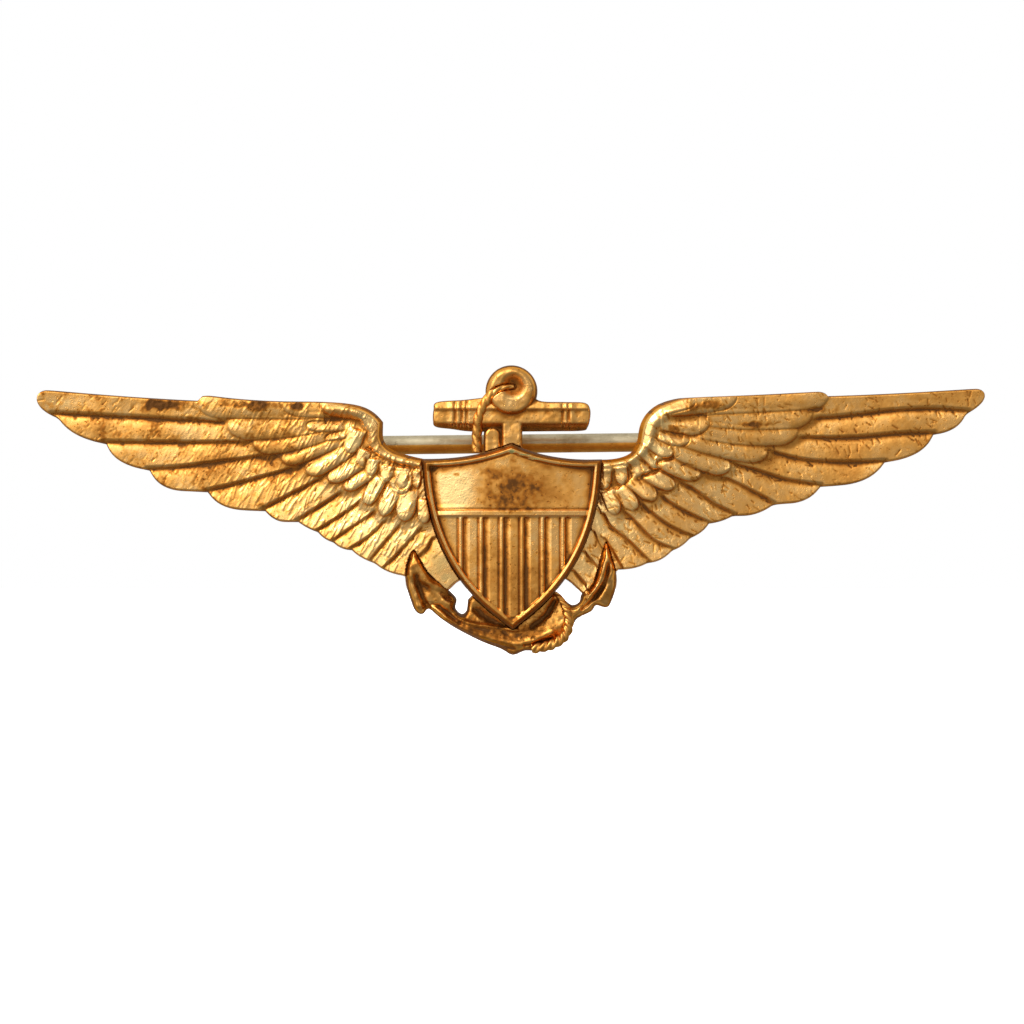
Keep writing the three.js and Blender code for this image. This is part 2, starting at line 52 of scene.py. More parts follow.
SEAT = 0.70 * MM            # thickness left of a piece where another sits on it
SOLDER_GAP = 0.04 * MM      # between pieces that lie on each other
SEAM = 0.03 * MM            # how far a wing runs under the edge of a piece that sits on it
CELL = 0.055 * MM           # spacing of the reliefs' grids
SHIELD_CELL = 0.045 * MM
FEATHER_TIP = 0.95 * MM     # depth of the flight feathers at the wing tips
FEATHER_ROOT = 1.10 * MM    # and near the shield
GROOVE_WALL = 0.42 * MM     # width of the drop from a long feather to the one below it
LEAF_EDGE = 0.34 * MM       # width of the rounded edge of a short feather
EDGE_WALL = 0.13 * MM       # width of the wings' sloping side walls, seen from the front
NECK_WALL = 0.40 * MM       # and of the walls between the shoulders and the shield
WALL_FOOT = 0.25 * MM       # the side walls are upright up to here


# ---------------------------------------------------------------- drawing

def drawn(points):
    """Millimetres on the badge's face, as an array of metres."""
    return np.array(points, float) * MM


def smooth_line(stops, per_stop=6, closed=False):
    """A Catmull-Rom line through the stops."""
    stops = np.asarray(stops, float)
    if closed:
        padded = np.vstack([stops[-1:], stops, stops[:2]])
    else:
        padded = np.vstack([2 * stops[0] - stops[1], stops, 2 * stops[-1] - stops[-2]])
    steps = np.arange(per_stop)[:, None] / per_stop
    spans = []
    for a, b, c, d in zip(padded, padded[1:], padded[2:], padded[3:]):
        spans.append(0.5 * (2 * b + (c - a) * steps + (2 * a - 5 * b + 4 * c - d) * steps**2
                            + (3 * b - a - 3 * c + d) * steps**3))
    if not closed:
        spans.append(stops[-1:])
    return np.vstack(spans)


def rounded_outline(polygon, sharp=math.radians(32), passes=2):
    """Cuts the small corners of a faceted outline and leaves its real corners alone."""
    for _ in range(passes):
        before = polygon - np.roll(polygon, 1, 0)
        after = np.roll(polygon, -1, 0) - polygon
        turn = np.arctan2(before[:, 0] * after[:, 1] - before[:, 1] * after[:, 0],
                          (before * after).sum(1))
        corners = []
        for point, back, ahead, angle in zip(polygon, before, after, turn):
            if abs(angle) > sharp:
                corners.append(point)
            else:
                corners += [point - 0.25 * back, point + 0.25 * ahead]
        polygon = np.array(corners)
    return polygon


ROUNDED_TO = 1e-3 * MM      # corners of a CAD node this close together are one corner
FLAT_WITHIN = 1e-4 * MM


def joined_loops(ahead):
    """Edges, given as each corner's next one, joined into loops of corners."""
    loops = []
    while ahead:
        first, here = ahead.popitem()
        loop = [first]
        while here != first and here in ahead:
            loop.append(here)
            here = ahead.pop(here)
        loops.append(loop)
    return loops


def back_outline(node):
    """The outline of a CAD node's rearmost flat face, as X and Z, joined up in order."""
    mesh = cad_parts[node].data
    co = np.array([v.co for v in mesh.vertices])
    rear = co[:, 1].max()
    keys = [tuple(np.round(c[[0, 2]] / ROUNDED_TO).astype(int)) for c in co]
    mesh.calc_loop_triangles()
    edges = {}
    for triangle in mesh.loop_triangles:
        corners = list(triangle.vertices)
        if (rear - co[corners, 1]).max() > FLAT_WITHIN:
            continue
        for a, b in zip(corners, corners[1:] + corners[:1]):
            edges[(keys[a], keys[b])] = True
    ahead = {a: b for a, b in edges if (b, a) not in edges}
    return np.array(max(joined_loops(ahead), key=len)) * ROUNDED_TO


def distance_to_line(points, line):
    """Distance from each point to an open line of points."""
    nearest = np.full(len(points), np.inf)
    for a, b in zip(line, line[1:]):
        along = b - a
        t = np.clip(((points - a) @ along) / max(along @ along, 1e-18), 0, 1)
        nearest = np.minimum(nearest, np.hypot(*(points - a - t[:, None] * along).T))
    return nearest


def signed_distance(points, polygon):
    """Distance to a closed outline, negative inside."""
    ring = np.vstack([polygon, polygon[:1]])
    away = distance_to_line(points, ring)
    inside = np.zeros(len(points), bool)
    x, z = points.T
    for (ax, az), (bx, bz) in zip(ring, ring[1:]):
        if az == bz:
            continue
        crosses = (az > z) != (bz > z)
        inside ^= crosses & (x < (bx - ax) * (z - az) / (bz - az) + ax)
    return np.where(inside, -away, away)


LEFT_OUTLINE, RIGHT_OUTLINE, SHIELD_OUTLINE = (
    rounded_outline(back_outline(node)) for node in ("left_wing", "right_wing", "shield"))


def over_shield(points):
    return signed_distance(points, SHIELD_OUTLINE)


def over_wings(points):
    return np.minimum(signed_distance(points, LEFT_OUTLINE), signed_distance(points, RIGHT_OUTLINE))


def rise(x):
    """Smooth step from 0 to 1 as x goes from 0 to 1."""
    x = np.clip(x, 0, 1)
    return x * x * (3 - 2 * x)


def valley(distance, half):
    """1 at no distance, falling smoothly to about a third at half a valley's width."""
    return np.exp(-(distance / half) ** 2)


# Turns points by half a radian, so that a noise's grid doesn't line up with the badge.
SLANT = np.array([[math.cos(0.5), math.sin(0.5)], [-math.sin(0.5), math.cos(0.5)]])


def noise(points, size, seed):
    """Smooth random values from -1 to 1 that change over about the given size."""
    rng = np.random.default_rng(SEED + seed)
    table = rng.uniform(-1, 1, (128, 128))
    u, v = (points / size + 40).T
    i, j = np.floor(u).astype(int), np.floor(v).astype(int)
    a, b = rise(u - i), rise(v - j)
    i, j = i % 127, j % 127
    low = table[i, j] * (1 - a) + table[i + 1, j] * a
    high = table[i, j + 1] * (1 - a) + table[i + 1, j + 1] * a
    return low * (1 - b) + high * b


# ---------------------------------------------------------------- reliefs

RECESS_SIZE = 0.35 * MM     # the neighbourhood that a hollow is judged against


class Grid:
    """A fine grid over an outline, with the distance to the outline at every knot."""

    def __init__(self, outlines, cell=CELL):
        """outlines: a function from points to signed distance, and the box it lies in."""
        self.distance_of, (low, high) = outlines
        self.cell = cell
        count = np.ceil((high - low) / cell).astype(int) + 5
        self.shape = tuple(count)
        i, j = np.meshgrid(np.arange(count[0]), np.arange(count[1]), indexing="ij")
        self.points = low + (np.stack([i.ravel(), j.ravel()], 1) - 2) * cell
        self.distance = self.distance_of(self.points)

    def cells(self):
        """The grid's squares whose corners lie inside, as four corner numbers each."""
        knots = np.arange(len(self.points)).reshape(self.shape)
        inside = (self.distance < 0.35 * self.cell).reshape(self.shape)
        whole = inside[:-1, :-1] & inside[1:, :-1] & inside[1:, 1:] & inside[:-1, 1:]
        a, b = knots[:-1, :-1][whole], knots[1:, :-1][whole]
        c, d = knots[1:, 1:][whole], knots[:-1, 1:][whole]
        return np.stack([a, b, c, d], 1)


def rim_edges(squares):
    """The edges that only one square uses, in the squares' own direction."""
    starts = squares.ravel()
    ends = np.roll(squares, -1, 1).ravel()
    size = int(squares.max()) + 1
    forward, backward = starts * size + ends, ends * size + starts
    lonely = ~np.isin(forward, backward)
    return starts[lonely], ends[lonely]


def relief(name, outline, height, marks=None, back=0.0, cell=CELL):
    """A struck piece: its face at Y = -height(points) and its back at Y = -back.

    The back is one flat face, or a grid like the face's where back is a function of the points.
    marks are named functions of the points, kept on the mesh for the material.
    """
    grid = Grid(outline, cell)
    squares = grid.cells()
    used = np.unique(squares)
    renumber = np.full(len(grid.points), -1)
    renumber[used] = np.arange(len(used))
    squares = renumber[squares]
    points = grid.points[used]
    starts, ends = rim_edges(squares)
    rim = np.unique(starts)
    for _ in range(2):                      # the rim is moved onto the outline itself
        step = 0.2 * cell
        here = grid.distance_of(points[rim])
        slope_x = grid.distance_of(points[rim] + [step, 0]) - here
        slope_z = grid.distance_of(points[rim] + [0, step]) - here
        slope = np.stack([slope_x, slope_z], 1) / step
        slope /= np.maximum(np.hypot(*slope.T), 0.3)[:, None]
        points[rim] -= np.clip(here, -1.5 * cell, 1.5 * cell)[:, None] * slope
    depth = height(points)
    face = np.stack([points[:, 0], -depth, points[:, 1]], 1)
    if callable(back):
        behind = len(points) + np.arange(len(points))
        rear = np.stack([points[:, 0], -back(points), points[:, 1]], 1)
        rear_faces = (squares[:, ::-1] + len(points)).tolist()
    else:
        behind = np.full(len(points), -1)
        behind[rim] = len(points) + np.arange(len(rim))
        rear = np.stack([points[rim, 0], np.full(len(rim), -back), points[rim, 1]], 1)
        rear_faces = back_faces(behind[starts], behind[ends])
    walls = np.stack([ends, starts, behind[starts], behind[ends]], 1)
    front_faces = squares.tolist() + walls.tolist()
    mesh = bpy.data.meshes.new(name)
    mesh.from_pydata(np.vstack([face, rear]).tolist(), [], front_faces + rear_faces)
    smooth = np.arange(len(mesh.polygons)) < len(front_faces)
    mesh.polygons.foreach_set("use_smooth", smooth)
    mesh.update()
    keep_values(mesh, "recess", recess(grid, used, depth, RECESS_SIZE))
    for mark, value in (marks or {}).items():
        keep_values(mesh, mark, value(points))
    return add_object(name, mesh)


def keep_values(mesh, name, values):
    """Stores one number for each of the mesh's first points, and 0 for the rest."""
    padded = np.zeros(len(mesh.vertices), np.float32)
    padded[:len(values)] = values
    mesh.attributes.new(name, "FLOAT", "POINT").data.foreach_set("value", padded)


def back_faces(starts, ends):
    """Flat faces over the loops of rim edges, turned to face backwards."""
    loops = joined_loops(dict(zip(starts.tolist(), ends.tolist())))
    return [loop[::-1] for loop in loops if len(loop) > 2]


def recess(grid, used, depth, size):
    """How far each point lies below its neighbourhood's average, in metres."""
    field = np.full(len(grid.points), np.nan)
    field[used] = depth
    field = field.reshape(grid.shape)
    known = ~np.isnan(field)
    reach = max(1, round(size / grid.cell))
    total, count = np.where(known, field, 0.0), known.astype(float)
    for _ in range(2):
        total, count = box_sum(total, reach), box_sum(count, reach)
    average = total / np.maximum(count, 1)
    return (average - np.where(known, field, average)).ravel()[used]


def box_sum(field, reach):
    """Sum over a square window, by running totals along each axis."""
    for axis in (0, 1):
        padded = np.pad(field, [(reach + 1, reach) if a == axis else (0, 0) for a in (0, 1)])
        running = np.cumsum(padded, axis)
        width = 2 * reach + 1
        size = field.shape[axis]
        high = np.take(running, np.arange(width, width + size), axis)
        low = np.take(running, np.arange(size), axis)
        field = high - low
    return field


def shade_smooth(mesh):
    mesh.polygons.foreach_set("use_smooth", [True] * len(mesh.polygons))
    mesh.update()


def closed_mesh(verts, faces):
    """A mesh whose faces are turned to point outwards."""
    mesh = bpy.data.meshes.new("body")
    mesh.from_pydata(verts, [], faces)
    made = bmesh.new()
    made.from_mesh(mesh)
    bmesh.ops.recalc_face_normals(made, faces=made.faces)
    made.to_mesh(mesh)
    made.free()
    return mesh


def stacked(rings):
    """A closed body through rings of points, with a flat face at each end."""
    count = len(rings[0])
    last = (len(rings) - 1) * count
    faces = [tuple(reversed(range(count))), tuple(range(last, last + count))]
    for level in range(len(rings) - 1):
        low, high = level * count, (level + 1) * count
        for i in range(count):
            ahead = (i + 1) % count
            faces.append((low + i, low + ahead, high + ahead, high + i))
    return closed_mesh([point for ring in rings for point in ring], faces)


def add_object(name, mesh):
    made = bpy.data.objects.new(name, mesh)
    bpy.context.scene.collection.objects.link(made)
    return made


def polygon_outline(polygon):
    """An outline for relief(): its distance function and its box."""
    return (lambda points: signed_distance(points, polygon)), (polygon.min(0), polygon.max(0))


# ---------------------------------------------------------------- the wings

# A leaf is a short feather: root x, z, tip x, z, half width and camber. The first ones lie on top.
LEFT_LEAVES = [
    (-8.0, 3.3, -8.05, 1.50, 0.56, 0.0),
    (-6.95, 3.0, -6.95, 1.55, 0.34, 0.0),
    (-9.1, 3.4, -9.25, 2.02, 0.52, 0.0),
    (-10.2, 3.9, -10.35, 2.45, 0.50, 0.0),
    (-10.8, 4.6, -11.05, 3.18, 0.52, 0.0),
    (-11.2, 6.1, -12.0, 4.15, 0.66, 0.0),
    (-12.0, 5.6, -13.7, 5.25, 0.30, 0.0),
    (-12.2, 6.25, -15.1, 6.20, 0.42, -0.10),
    (-10.6, 7.4, -14.1, 7.75, 0.85, 0.0),
    (-12.0, 7.75, -17.0, 7.90, 1.05, 0.0),
    (-14.0, 7.75, -23.1, 7.90, 1.13, 0.0),
    (-8.0, 3.0, -8.15, 1.12, 0.92, 0.0),
    (-13.0, 6.9, -20.9, 6.15, 1.00, -0.27),
    (-12.8, 6.2, -19.0, 4.75, 0.75, -0.35),
    (-12.2, 5.6, -16.9, 3.65, 0.66, -0.15),
    (-11.6, 4.9, -15.1, 2.75, 0.68, -0.15),
    (-10.6, 4.0, -13.5, 2.20, 0.60, -0.12),
    (-10.0, 3.1, -12.3, 1.55, 0.52, -0.05),
    (-9.5, 2.6, -10.7, 0.38, 0.56, 0.0),
    (-8.5, 1.7, -9.5, -0.45, 0.60, 0.05),
    (-7.5, 1.7, -7.9, -0.85, 0.75, 0.0),
    (-6.5, 1.0, -6.35, -1.0, 0.50, 0.0),
]
RIGHT_LEAVES = [
    (8.0, 3.3, 8.15, 1.80, 0.50, 0.0),
    (6.8, 3.1, 6.8, 1.45, 0.56, 0.0),
    (9.0, 3.4, 9.4, 2.20, 0.42, 0.0),
    (8.6, 4.0, 10.1, 2.65, 0.48, 0.0),
    (9.2, 4.5, 10.95, 3.10, 0.52, 0.0),
    (9.8, 5.0, 11.9, 4.00, 0.55, 0.0),
    (10.6, 5.5, 13.1, 5.10, 0.50, -0.10),
    (10.6, 6.3, 14.6, 6.45, 0.75, -0.25),
    (10.8, 7.3, 13.5, 8.00, 0.50, 0.0),
    (11.0, 7.4, 16.6, 8.40, 0.90, 0.0),
    (13.0, 7.9, 23.4, 8.50, 1.05, 0.0),
    (13.5, 7.2, 22.2, 7.10, 0.95, -0.35),
    (13.0, 6.3, 21.1, 5.75, 0.92, -0.35),
    (12.0, 5.8, 18.9, 4.15, 0.85, -0.30),
    (11.2, 5.1, 16.1, 3.00, 0.75, -0.25),
    (10.3, 4.2, 13.9, 2.45, 0.65, -0.20),
    (9.4, 3.1, 12.0, 1.65, 0.58, -0.10),
    (8.6, 2.5, 10.6, 0.75, 0.65, 0.0),
    (7.8, 1.8, 9.2, 0.00, 0.60, 0.0),
    (7.0, 1.6, 7.75, -0.35, 0.56, 0.0),
]
LEFT_GROOVES = [
    [(-33.9, 7.02), (-31.5, 6.90), (-28, 6.72), (-24, 6.5), (-20, 6.4), (-14, 6.6)],
    [(-30.1, 4.90), (-26, 4.86), (-22, 4.87), (-19, 5.05), (-14, 5.9)],
    [(-26.8, 2.93), (-24.5, 3.05), (-21.5, 3.45), (-18.3, 3.95), (-13, 5.3)],
    [(-22.4, 1.33), (-20.5, 1.75), (-18.5, 2.3), (-16.3, 2.95), (-12.5, 4.6)],
    [(-18.3, -0.05), (-16.5, 0.9), (-14.3, 2.1), (-11.5, 4)],
    [(-15.8, -0.93), (-14.5, -0.1), (-13, 0.85), (-11, 2.4)],
    [(-14.35, -1.65), (-12.8, -0.7), (-11.3, 0.35), (-9.8, 1.8)],
    [(-13.2, -2.4), (-11.6, -1.3), (-10.1, -0.3), (-8.8, 1)],
    [(-11.9, -2.98), (-10.5, -2.1), (-9.2, -0.8), (-8.2, 0.4)],
    [(-10.3, -3.85), (-9.3, -2.5), (-8.0, -1.05), (-7.2, 0)],
    [(-9.5, -4.5), (-8.0, -3.0), (-6.5, -1.25), (-6.1, -0.5)],
    [(-6.7, -3.5), (-6.1, -2.9), (-5.7, -2.2)],
]
RIGHT_GROOVES = [
    [(33.7, 7.2), (31, 7.35), (28, 7.2), (25.5, 6.9), (22.5, 6.65), (15, 6.5)],
    [(31.2, 5.6), (28.5, 5.5), (25.5, 5.25), (22.5, 5.22), (20, 5.4), (14.5, 6)],
    [(27.6, 3.5), (24.5, 3.4), (21.5, 3.6), (18.9, 4.25), (13, 5.6)],
    [(22.8, 1.75), (20.3, 2.1), (17.8, 2.9), (15.5, 3.6), (12, 4.8)],
    [(19.35, 0.4), (17.5, 1.4), (15.5, 2.4), (12, 4.0)],
    [(16.35, -0.4), (14.8, 0.4), (13, 1.65), (10.5, 3.2)],
    [(14.6, -1.05), (12.9, -0.3), (11.2, 0.75), (9, 2.6)],
    [(13.3, -2.08), (11.5, -1.2), (9.8, 0.1), (8, 1.9)],
    [(11.95, -3), (10.4, -2.3), (8.9, -0.8), (7.2, 1)],
    [(10.1, -3.9), (8.6, -2.4), (7.2, -1.3), (6.7, -0.4)],
    [(8.05, -4.45), (7.4, -3.2), (6.8, -2.2)],
    [(6.65, -3.05), (6.0, -1.7)],
    [(6.15, -4.2), (5.3, -3.2)],
    [(5.3, -5.5), (4.5, -4.6)],
]
# The smooth ridge of each wing's leading edge, from the shoulder down to the shield.
LEFT_RIDGE = [(-13.4, 7.4), (-12, 7.32), (-11, 6.9), (-10.35, 6), (-10.15, 5), (-9.7, 4.2),
              (-8.6, 3.68), (-6.8, 3.32)]
RIGHT_RIDGE = [(13.0, 7.3), (11.6, 7.1), (10.6, 6.5), (10.2, 5.6), (9.9, 4.9), (9.3, 4.1),
               (8.3, 3.5), (6.9, 3.2)]
LEFT_HOLLOW = [(-13.0, 6.85), (-11.8, 6.6), (-11.05, 6.1), (-10.75, 5.4)]
RIGHT_HOLLOW = [(11.4, 5.75), (12.4, 5.5), (13.4, 5.5)]
LEFT_RIDGE_FOOT = [(-10.5, 4.4), (-9.5, 3.8), (-8.3, 3.3), (-6.9, 3.05)]
RIGHT_RIDGE_FOOT = [(9.3, 2.35), (10.7, 2.9), (10.8, 3.5), (11.8, 3.8)]


def leaf_shape(points, leaf):
    """Of a short feather: signed distance to its edge, place along it from 0 to 1, and how far
    it is sunk at each point, because its upper left side lies under the feather above."""
    root, tip, (half, camber) = drawn(leaf[:2]), drawn(leaf[2:4]), drawn(leaf[4:])
    length = math.dist(root, tip)
    forward = (tip - root) / length
    side = np.array([-forward[1], forward[0]]) * (1 if forward[0] >= 0 else -1)
    upper_left = side * (1 if side[1] > 0.8 * side[0] else -1)
    along = (points - root) @ forward
    part = np.clip(along / length, 0, 1)
    across = ((points - root) @ side - camber * 4 * part * (1 - part)) / half
    round_end = min(1.5 * half, 0.9 * length)
    beyond = np.maximum(along - (length - round_end), 0) / round_end
    away = (np.hypot(beyond, across) - 1) * half
    sunk = (0.5 + 0.3 * forward[0] ** 2) * rise((across * (upper_left @ side) + 0.7) / 1.5)
    return away, part, sunk


def blade_distance(shape):
    """Distance to a short feather's edge, leaving out its root, which has no edge of its own."""
    away, part, _ = shape
    return np.where(part > 0.1, away, 1.0)


def signed_side(points, line):
    """Distance to an open line, positive on its upper side and negative below it."""
    nearest = np.full(len(points), np.inf)
    side = np.zeros(len(points))
    for a, b in zip(line, line[1:]):
        along = b - a
        offset = points - a
        t = np.clip((offset @ along) / (along @ along), 0, 1)
        away = np.hypot(*(offset - t[:, None] * along).T)
        above = (along[0] * offset[:, 1] - along[1] * offset[:, 0]) * np.sign(along[0])
        side = np.where(away < nearest, np.sign(above), side)
        nearest = np.minimum(nearest, away)
    return nearest * side


def strokes(points, count, lean, seed, lengths, half, spread=0.12):
    """Short struck barb lines, leaning by an angle, as a depth from 0 to 1 at each point."""
    rng = np.random.default_rng(SEED + seed)
    low, high = points.min(0), points.max(0)
    marks = np.zeros(len(points))
    for _ in range(count):
        middle = points[rng.integers(len(points))]
        angle = lean + rng.normal(0, spread)
        reach = rng.uniform(*lengths) / 2
        weight = rng.uniform(0.35, 1)
        along = np.array([math.cos(angle), math.sin(angle)])
        near = np.abs(points - middle).max(1) < reach + 3 * half
        if not near.any():
            continue
        offset = points[near] - middle
        run = offset @ along
        aside = offset @ [-along[1], along[0]]
        past = np.maximum(np.abs(run) - reach, 0)
        mark = weight * np.exp(-(aside**2 + past**2) / half**2)
        marks[near] = np.maximum(marks[near], mark)
    return marks


def wing_height(side, outline, leaves, grooves, ridge, hollow, foot, stain_and_painted_light):
    """The face of one wing as a function. side is -1 for the left wing and 1 for the right."""
    lines = [smooth_line(drawn(line)) for line in grooves]
    ridge, hollow, foot = (smooth_line(drawn(line)) for line in (ridge, hollow, foot))

    def height(points):
        out = np.abs(points[:, 0])
        inward = rise((34 * MM - out) / (24 * MM))
        shapes = [leaf_shape(points, leaf) for leaf in leaves]
        cover = np.min([blade_distance(shape) for shape in shapes], 0)
        bed = wing_bed(points, side, inward) + 0.08 * MM * rise(-cover / (0.8 * MM))
        # Each long feather climbs from its upper edge and drops at its lower edge.
        step = (0.22 + 0.10 * inward) * MM
        gentle = (0.30 + 0.70 * inward) * MM
        dip = np.zeros(len(points))
        for line in lines:
            above = signed_side(points, line)
            upper_side, lower_side = 1 - rise(above / GROOVE_WALL), np.exp(above / gentle)
            dip = np.maximum(dip, np.where(above > 0, upper_side, lower_side))
        face = bed - step * dip * rise((cover + 0.1 * MM) / (0.6 * MM))
        for away, part, sunk in reversed(shapes):
            edge = np.sqrt(1 - (1 - np.clip(-away / LEAF_EDGE, 0, 1)) ** 2)
            thickness = (0.12 + 0.20 * part) * (0.3 + 0.7 * inward**2) * MM
            blade = bed + thickness * edge * (1 - sunk)
            share = rise(0.5 - away / (0.07 * MM)) * rise(part / 0.2)
            face = face * (1 - share) + blade * share
        face += 0.30 * MM * valley(distance_to_line(points, ridge), 0.42 * MM)
        face -= 0.12 * MM * valley(distance_to_line(points, hollow), 0.40 * MM)
        face -= 0.15 * MM * valley(distance_to_line(points, foot), 0.16 * MM)
        face += barbs(points, side, inward)
        face += 0.010 * MM * noise(points, 0.7 * MM, 30 + side)
        face += 0.07 * MM * crusted(stain_and_painted_light(points)) * noise(points, 0.22 * MM, 40 + side)
        inside = -signed_distance(points, outline)
        neck = rise((13.5 * MM - out) / (2.5 * MM)) * (points[:, 1] > 2.4 * MM)
        width = EDGE_WALL + (NECK_WALL - EDGE_WALL) * neck
        wall = WALL_FOOT + (face - WALL_FOOT) * rise(inside / width) ** 0.6
        wall = np.minimum(wall, face)
        for seat in (over_shield, over_arms):
            wall = np.where(seat(points) < -SEAM, np.minimum(wall, SEAT), wall)
        return wall

    return height


def wing_bed(points, side, inward):
    """What the feathers lie on: deeper near the shield, bulging at the shoulder, lifted below."""
    bulge, bulge_place, bulge_half = 0.70 - 0.04 * side, 8 + 3 * side, 6 - 0.5 * side
    from_bulge = np.abs(points[:, 0]) - bulge_place * MM
    bed = FEATHER_TIP + (FEATHER_ROOT - FEATHER_TIP) * inward
    bed += bulge * MM * valley(from_bulge, bulge_half * MM)
    bed += 0.20 * MM * rise((3 * MM - points[:, 1]) / (5.5 * MM)) * inward
    return bed + 0.06 * MM * noise(points, 2.2 * MM, 20 + side)


def barbs(points, side, inward):
    """The fine struck lines on the feathers: ribs on the left wing, small cuts on the right."""
    if side < 0:
        ribs = strokes(points, 900, math.radians(62), 11, (0.5 * MM, 1.3 * MM), 0.085 * MM)
        ribs *= 1 - rise((points[:, 0] + 6.8 * MM) / MM)
        return MM * (0.07 * (0.05 + 0.95 * inward**2) * ribs - 0.03 * cuts(points, side))
    ribs = strokes(points, 500, math.radians(118), 13, (0.4 * MM, 1.0 * MM), 0.085 * MM)
    return MM * (0.022 * ribs * inward - 0.03 * cuts(points, side))


def cuts(points, side):
    """Short stray cuts all over a wing, each as dark as it is deep."""
    if side < 0:
        return strokes(points, 320, math.radians(50), 12, (0.15 * MM, 0.5 * MM), 0.06 * MM, 0.3)
    return strokes(points, 620, math.radians(130), 14, (0.1 * MM, 0.55 * MM), 0.07 * MM, 0.45)


def crusted(stain_and_painted_light):
    """Only a heavy stain is thick enough to be rough."""
    return np.clip(stain_and_painted_light - 0.35, 0, 1)


def painted_groove_shade(points, grooves, leaves):
    """Painted shade: dark lines around the short feathers, and along the long ones where those
    don't hide them.
    """
    dark = np.zeros(len(points))
    cover = np.full(len(points), 1.0)
    for leaf in leaves:
        away = blade_distance(leaf_shape(points, leaf))
        edge = 0.9 * valley(away - 0.05 * MM, 0.09 * MM) * (cover > 0)
        dark = np.maximum(dark, edge)
        cover = np.minimum(cover, away)
    for line in grooves:
        away = signed_side(points, smooth_line(drawn(line))) - 0.10 * MM
        dark = np.maximum(dark, valley(away, 0.16 * MM) * rise(cover / (0.3 * MM)))
    return dark


def spots(points, places, seed, raggedness=1.0):
    """Ragged blotches from 0 to 1, for stains and for painted highlights. The places are x, z, half
    width and half height.
    """
    stain_and_painted_light = np.zeros(len(points))
    aslant = points @ SLANT
    ragged = 0.45 * noise(aslant, 0.8 * MM, seed) + 0.3 * noise(aslant, 0.25 * MM, seed + 1)
    ragged *= raggedness
    for x, z, half_width, half_height in places:
        offset = (points - drawn((x, z))) / drawn((half_width, half_height))
        stain_and_painted_light = np.maximum(stain_and_painted_light, rise(1.3 - np.hypot(*offset.T) + ragged))
    return stain_and_painted_light


def left_stain_and_painted_light(points):
    crust = spots(points, [
        (-25.4, 7.75, 2.2, 0.5), (-19.5, 7.7, 2.8, 0.4), (-15.6, 7.6, 1.0, 0.3),
    ], 50)
    faint = spots(points, [
        (-28, 4.2, 1.4, 0.5), (-26.6, 6.1, 1.6, 0.5), (-21.5, 3.3, 4.5, 2.2), (-28, 5.7, 3.5, 1.0),
    ], 68)
    # Painted highlights: paler, smoother gilding where the inner wing, the shoulder and the tip
    # catch the key light, taken off the stain at the end.
    wear_and_painted_highlight = spots(points, [
        (-9.2, 0.2, 3.6, 3.4), (-11.5, 6.0, 1.5, 1.6), (-33, 7.9, 2.0, 0.7),
    ], 70, 0.6)
    # Painted shade along the feathers' grooves and edges.
    dark = 0.4 * painted_groove_shade(points, LEFT_GROOVES, LEFT_LEAVES)
    # Partly mottled tarnish in flecks, partly painted shade: darker towards the outer left wing.
    flecks = noise(points @ SLANT, 0.5 * MM, 74) + 0.7 * noise(points @ SLANT, 0.17 * MM, 75)
    painted_outer_shade = (0.16 + 0.50 * np.clip(flecks, 0, 1)) * rise((-12 * MM - points[:, 0]) / (7 * MM))
    return np.max([crust, 0.32 * faint, 0.7 * cuts(points, -1), dark, painted_outer_shade], 0) - 0.36 * wear_and_painted_highlight


def right_stain_and_painted_light(points):
    crust = spots(points, [
        (14.4, 7.7, 1.5, 0.45), (22.6, 7.4, 1.2, 0.4), (11.9, 5.9, 0.5, 0.3), (17.6, 6.3, 1.6, 0.3),
    ], 52)
    # Painted highlights: paler, smoother gilding where the inner wing and the shoulder catch the
    # light, taken off the stain at the end.
    wear_and_painted_highlight = spots(points, [(7.6, 0.6, 2.2, 3.0), (10.4, 5.2, 1.6, 2.6)], 72, 0.6)
    # Painted shade along the feathers' grooves and edges.
    dark = 0.4 * painted_groove_shade(points, RIGHT_GROOVES, RIGHT_LEAVES)
    # Painted shade: darker towards the outer right wing, which faces away from the key light.
    painted_outer_shade = 0.20 * rise((points[:, 0] - 12 * MM) / (8 * MM))
    return np.max([crust, 0.8 * cuts(points, 1), dark, painted_outer_shade], 0) - 0.32 * wear_and_painted_highlight


def left_green(points):
    return 0.5 * spots(points, [(-5.5, -3.8, 0.9, 1.0), (-4.9, -5.0, 0.5, 0.4)], 92)


# ---------------------------------------------------------------- the shield

SHIELD_FRONT = 2.48 * MM
SHIELD_FIELD = 2.08 * MM    # at its sides; it bulges between them
SHIELD_WALL = 0.36 * MM     # width of its sloping wall, seen from the front
SHIELD_SIDE = 1.55 * MM     # the side is upright up to here
RIM_CREST = 0.48 * MM       # from the outline
RIM_FOOT = 0.64 * MM
STRIPE_PITCH = 1.5 * MM
STRIPE_CENTRE = 0.17 * MM
BAR_BOTTOM, BAR_TOP = -0.50 * MM, 0.02 * MM


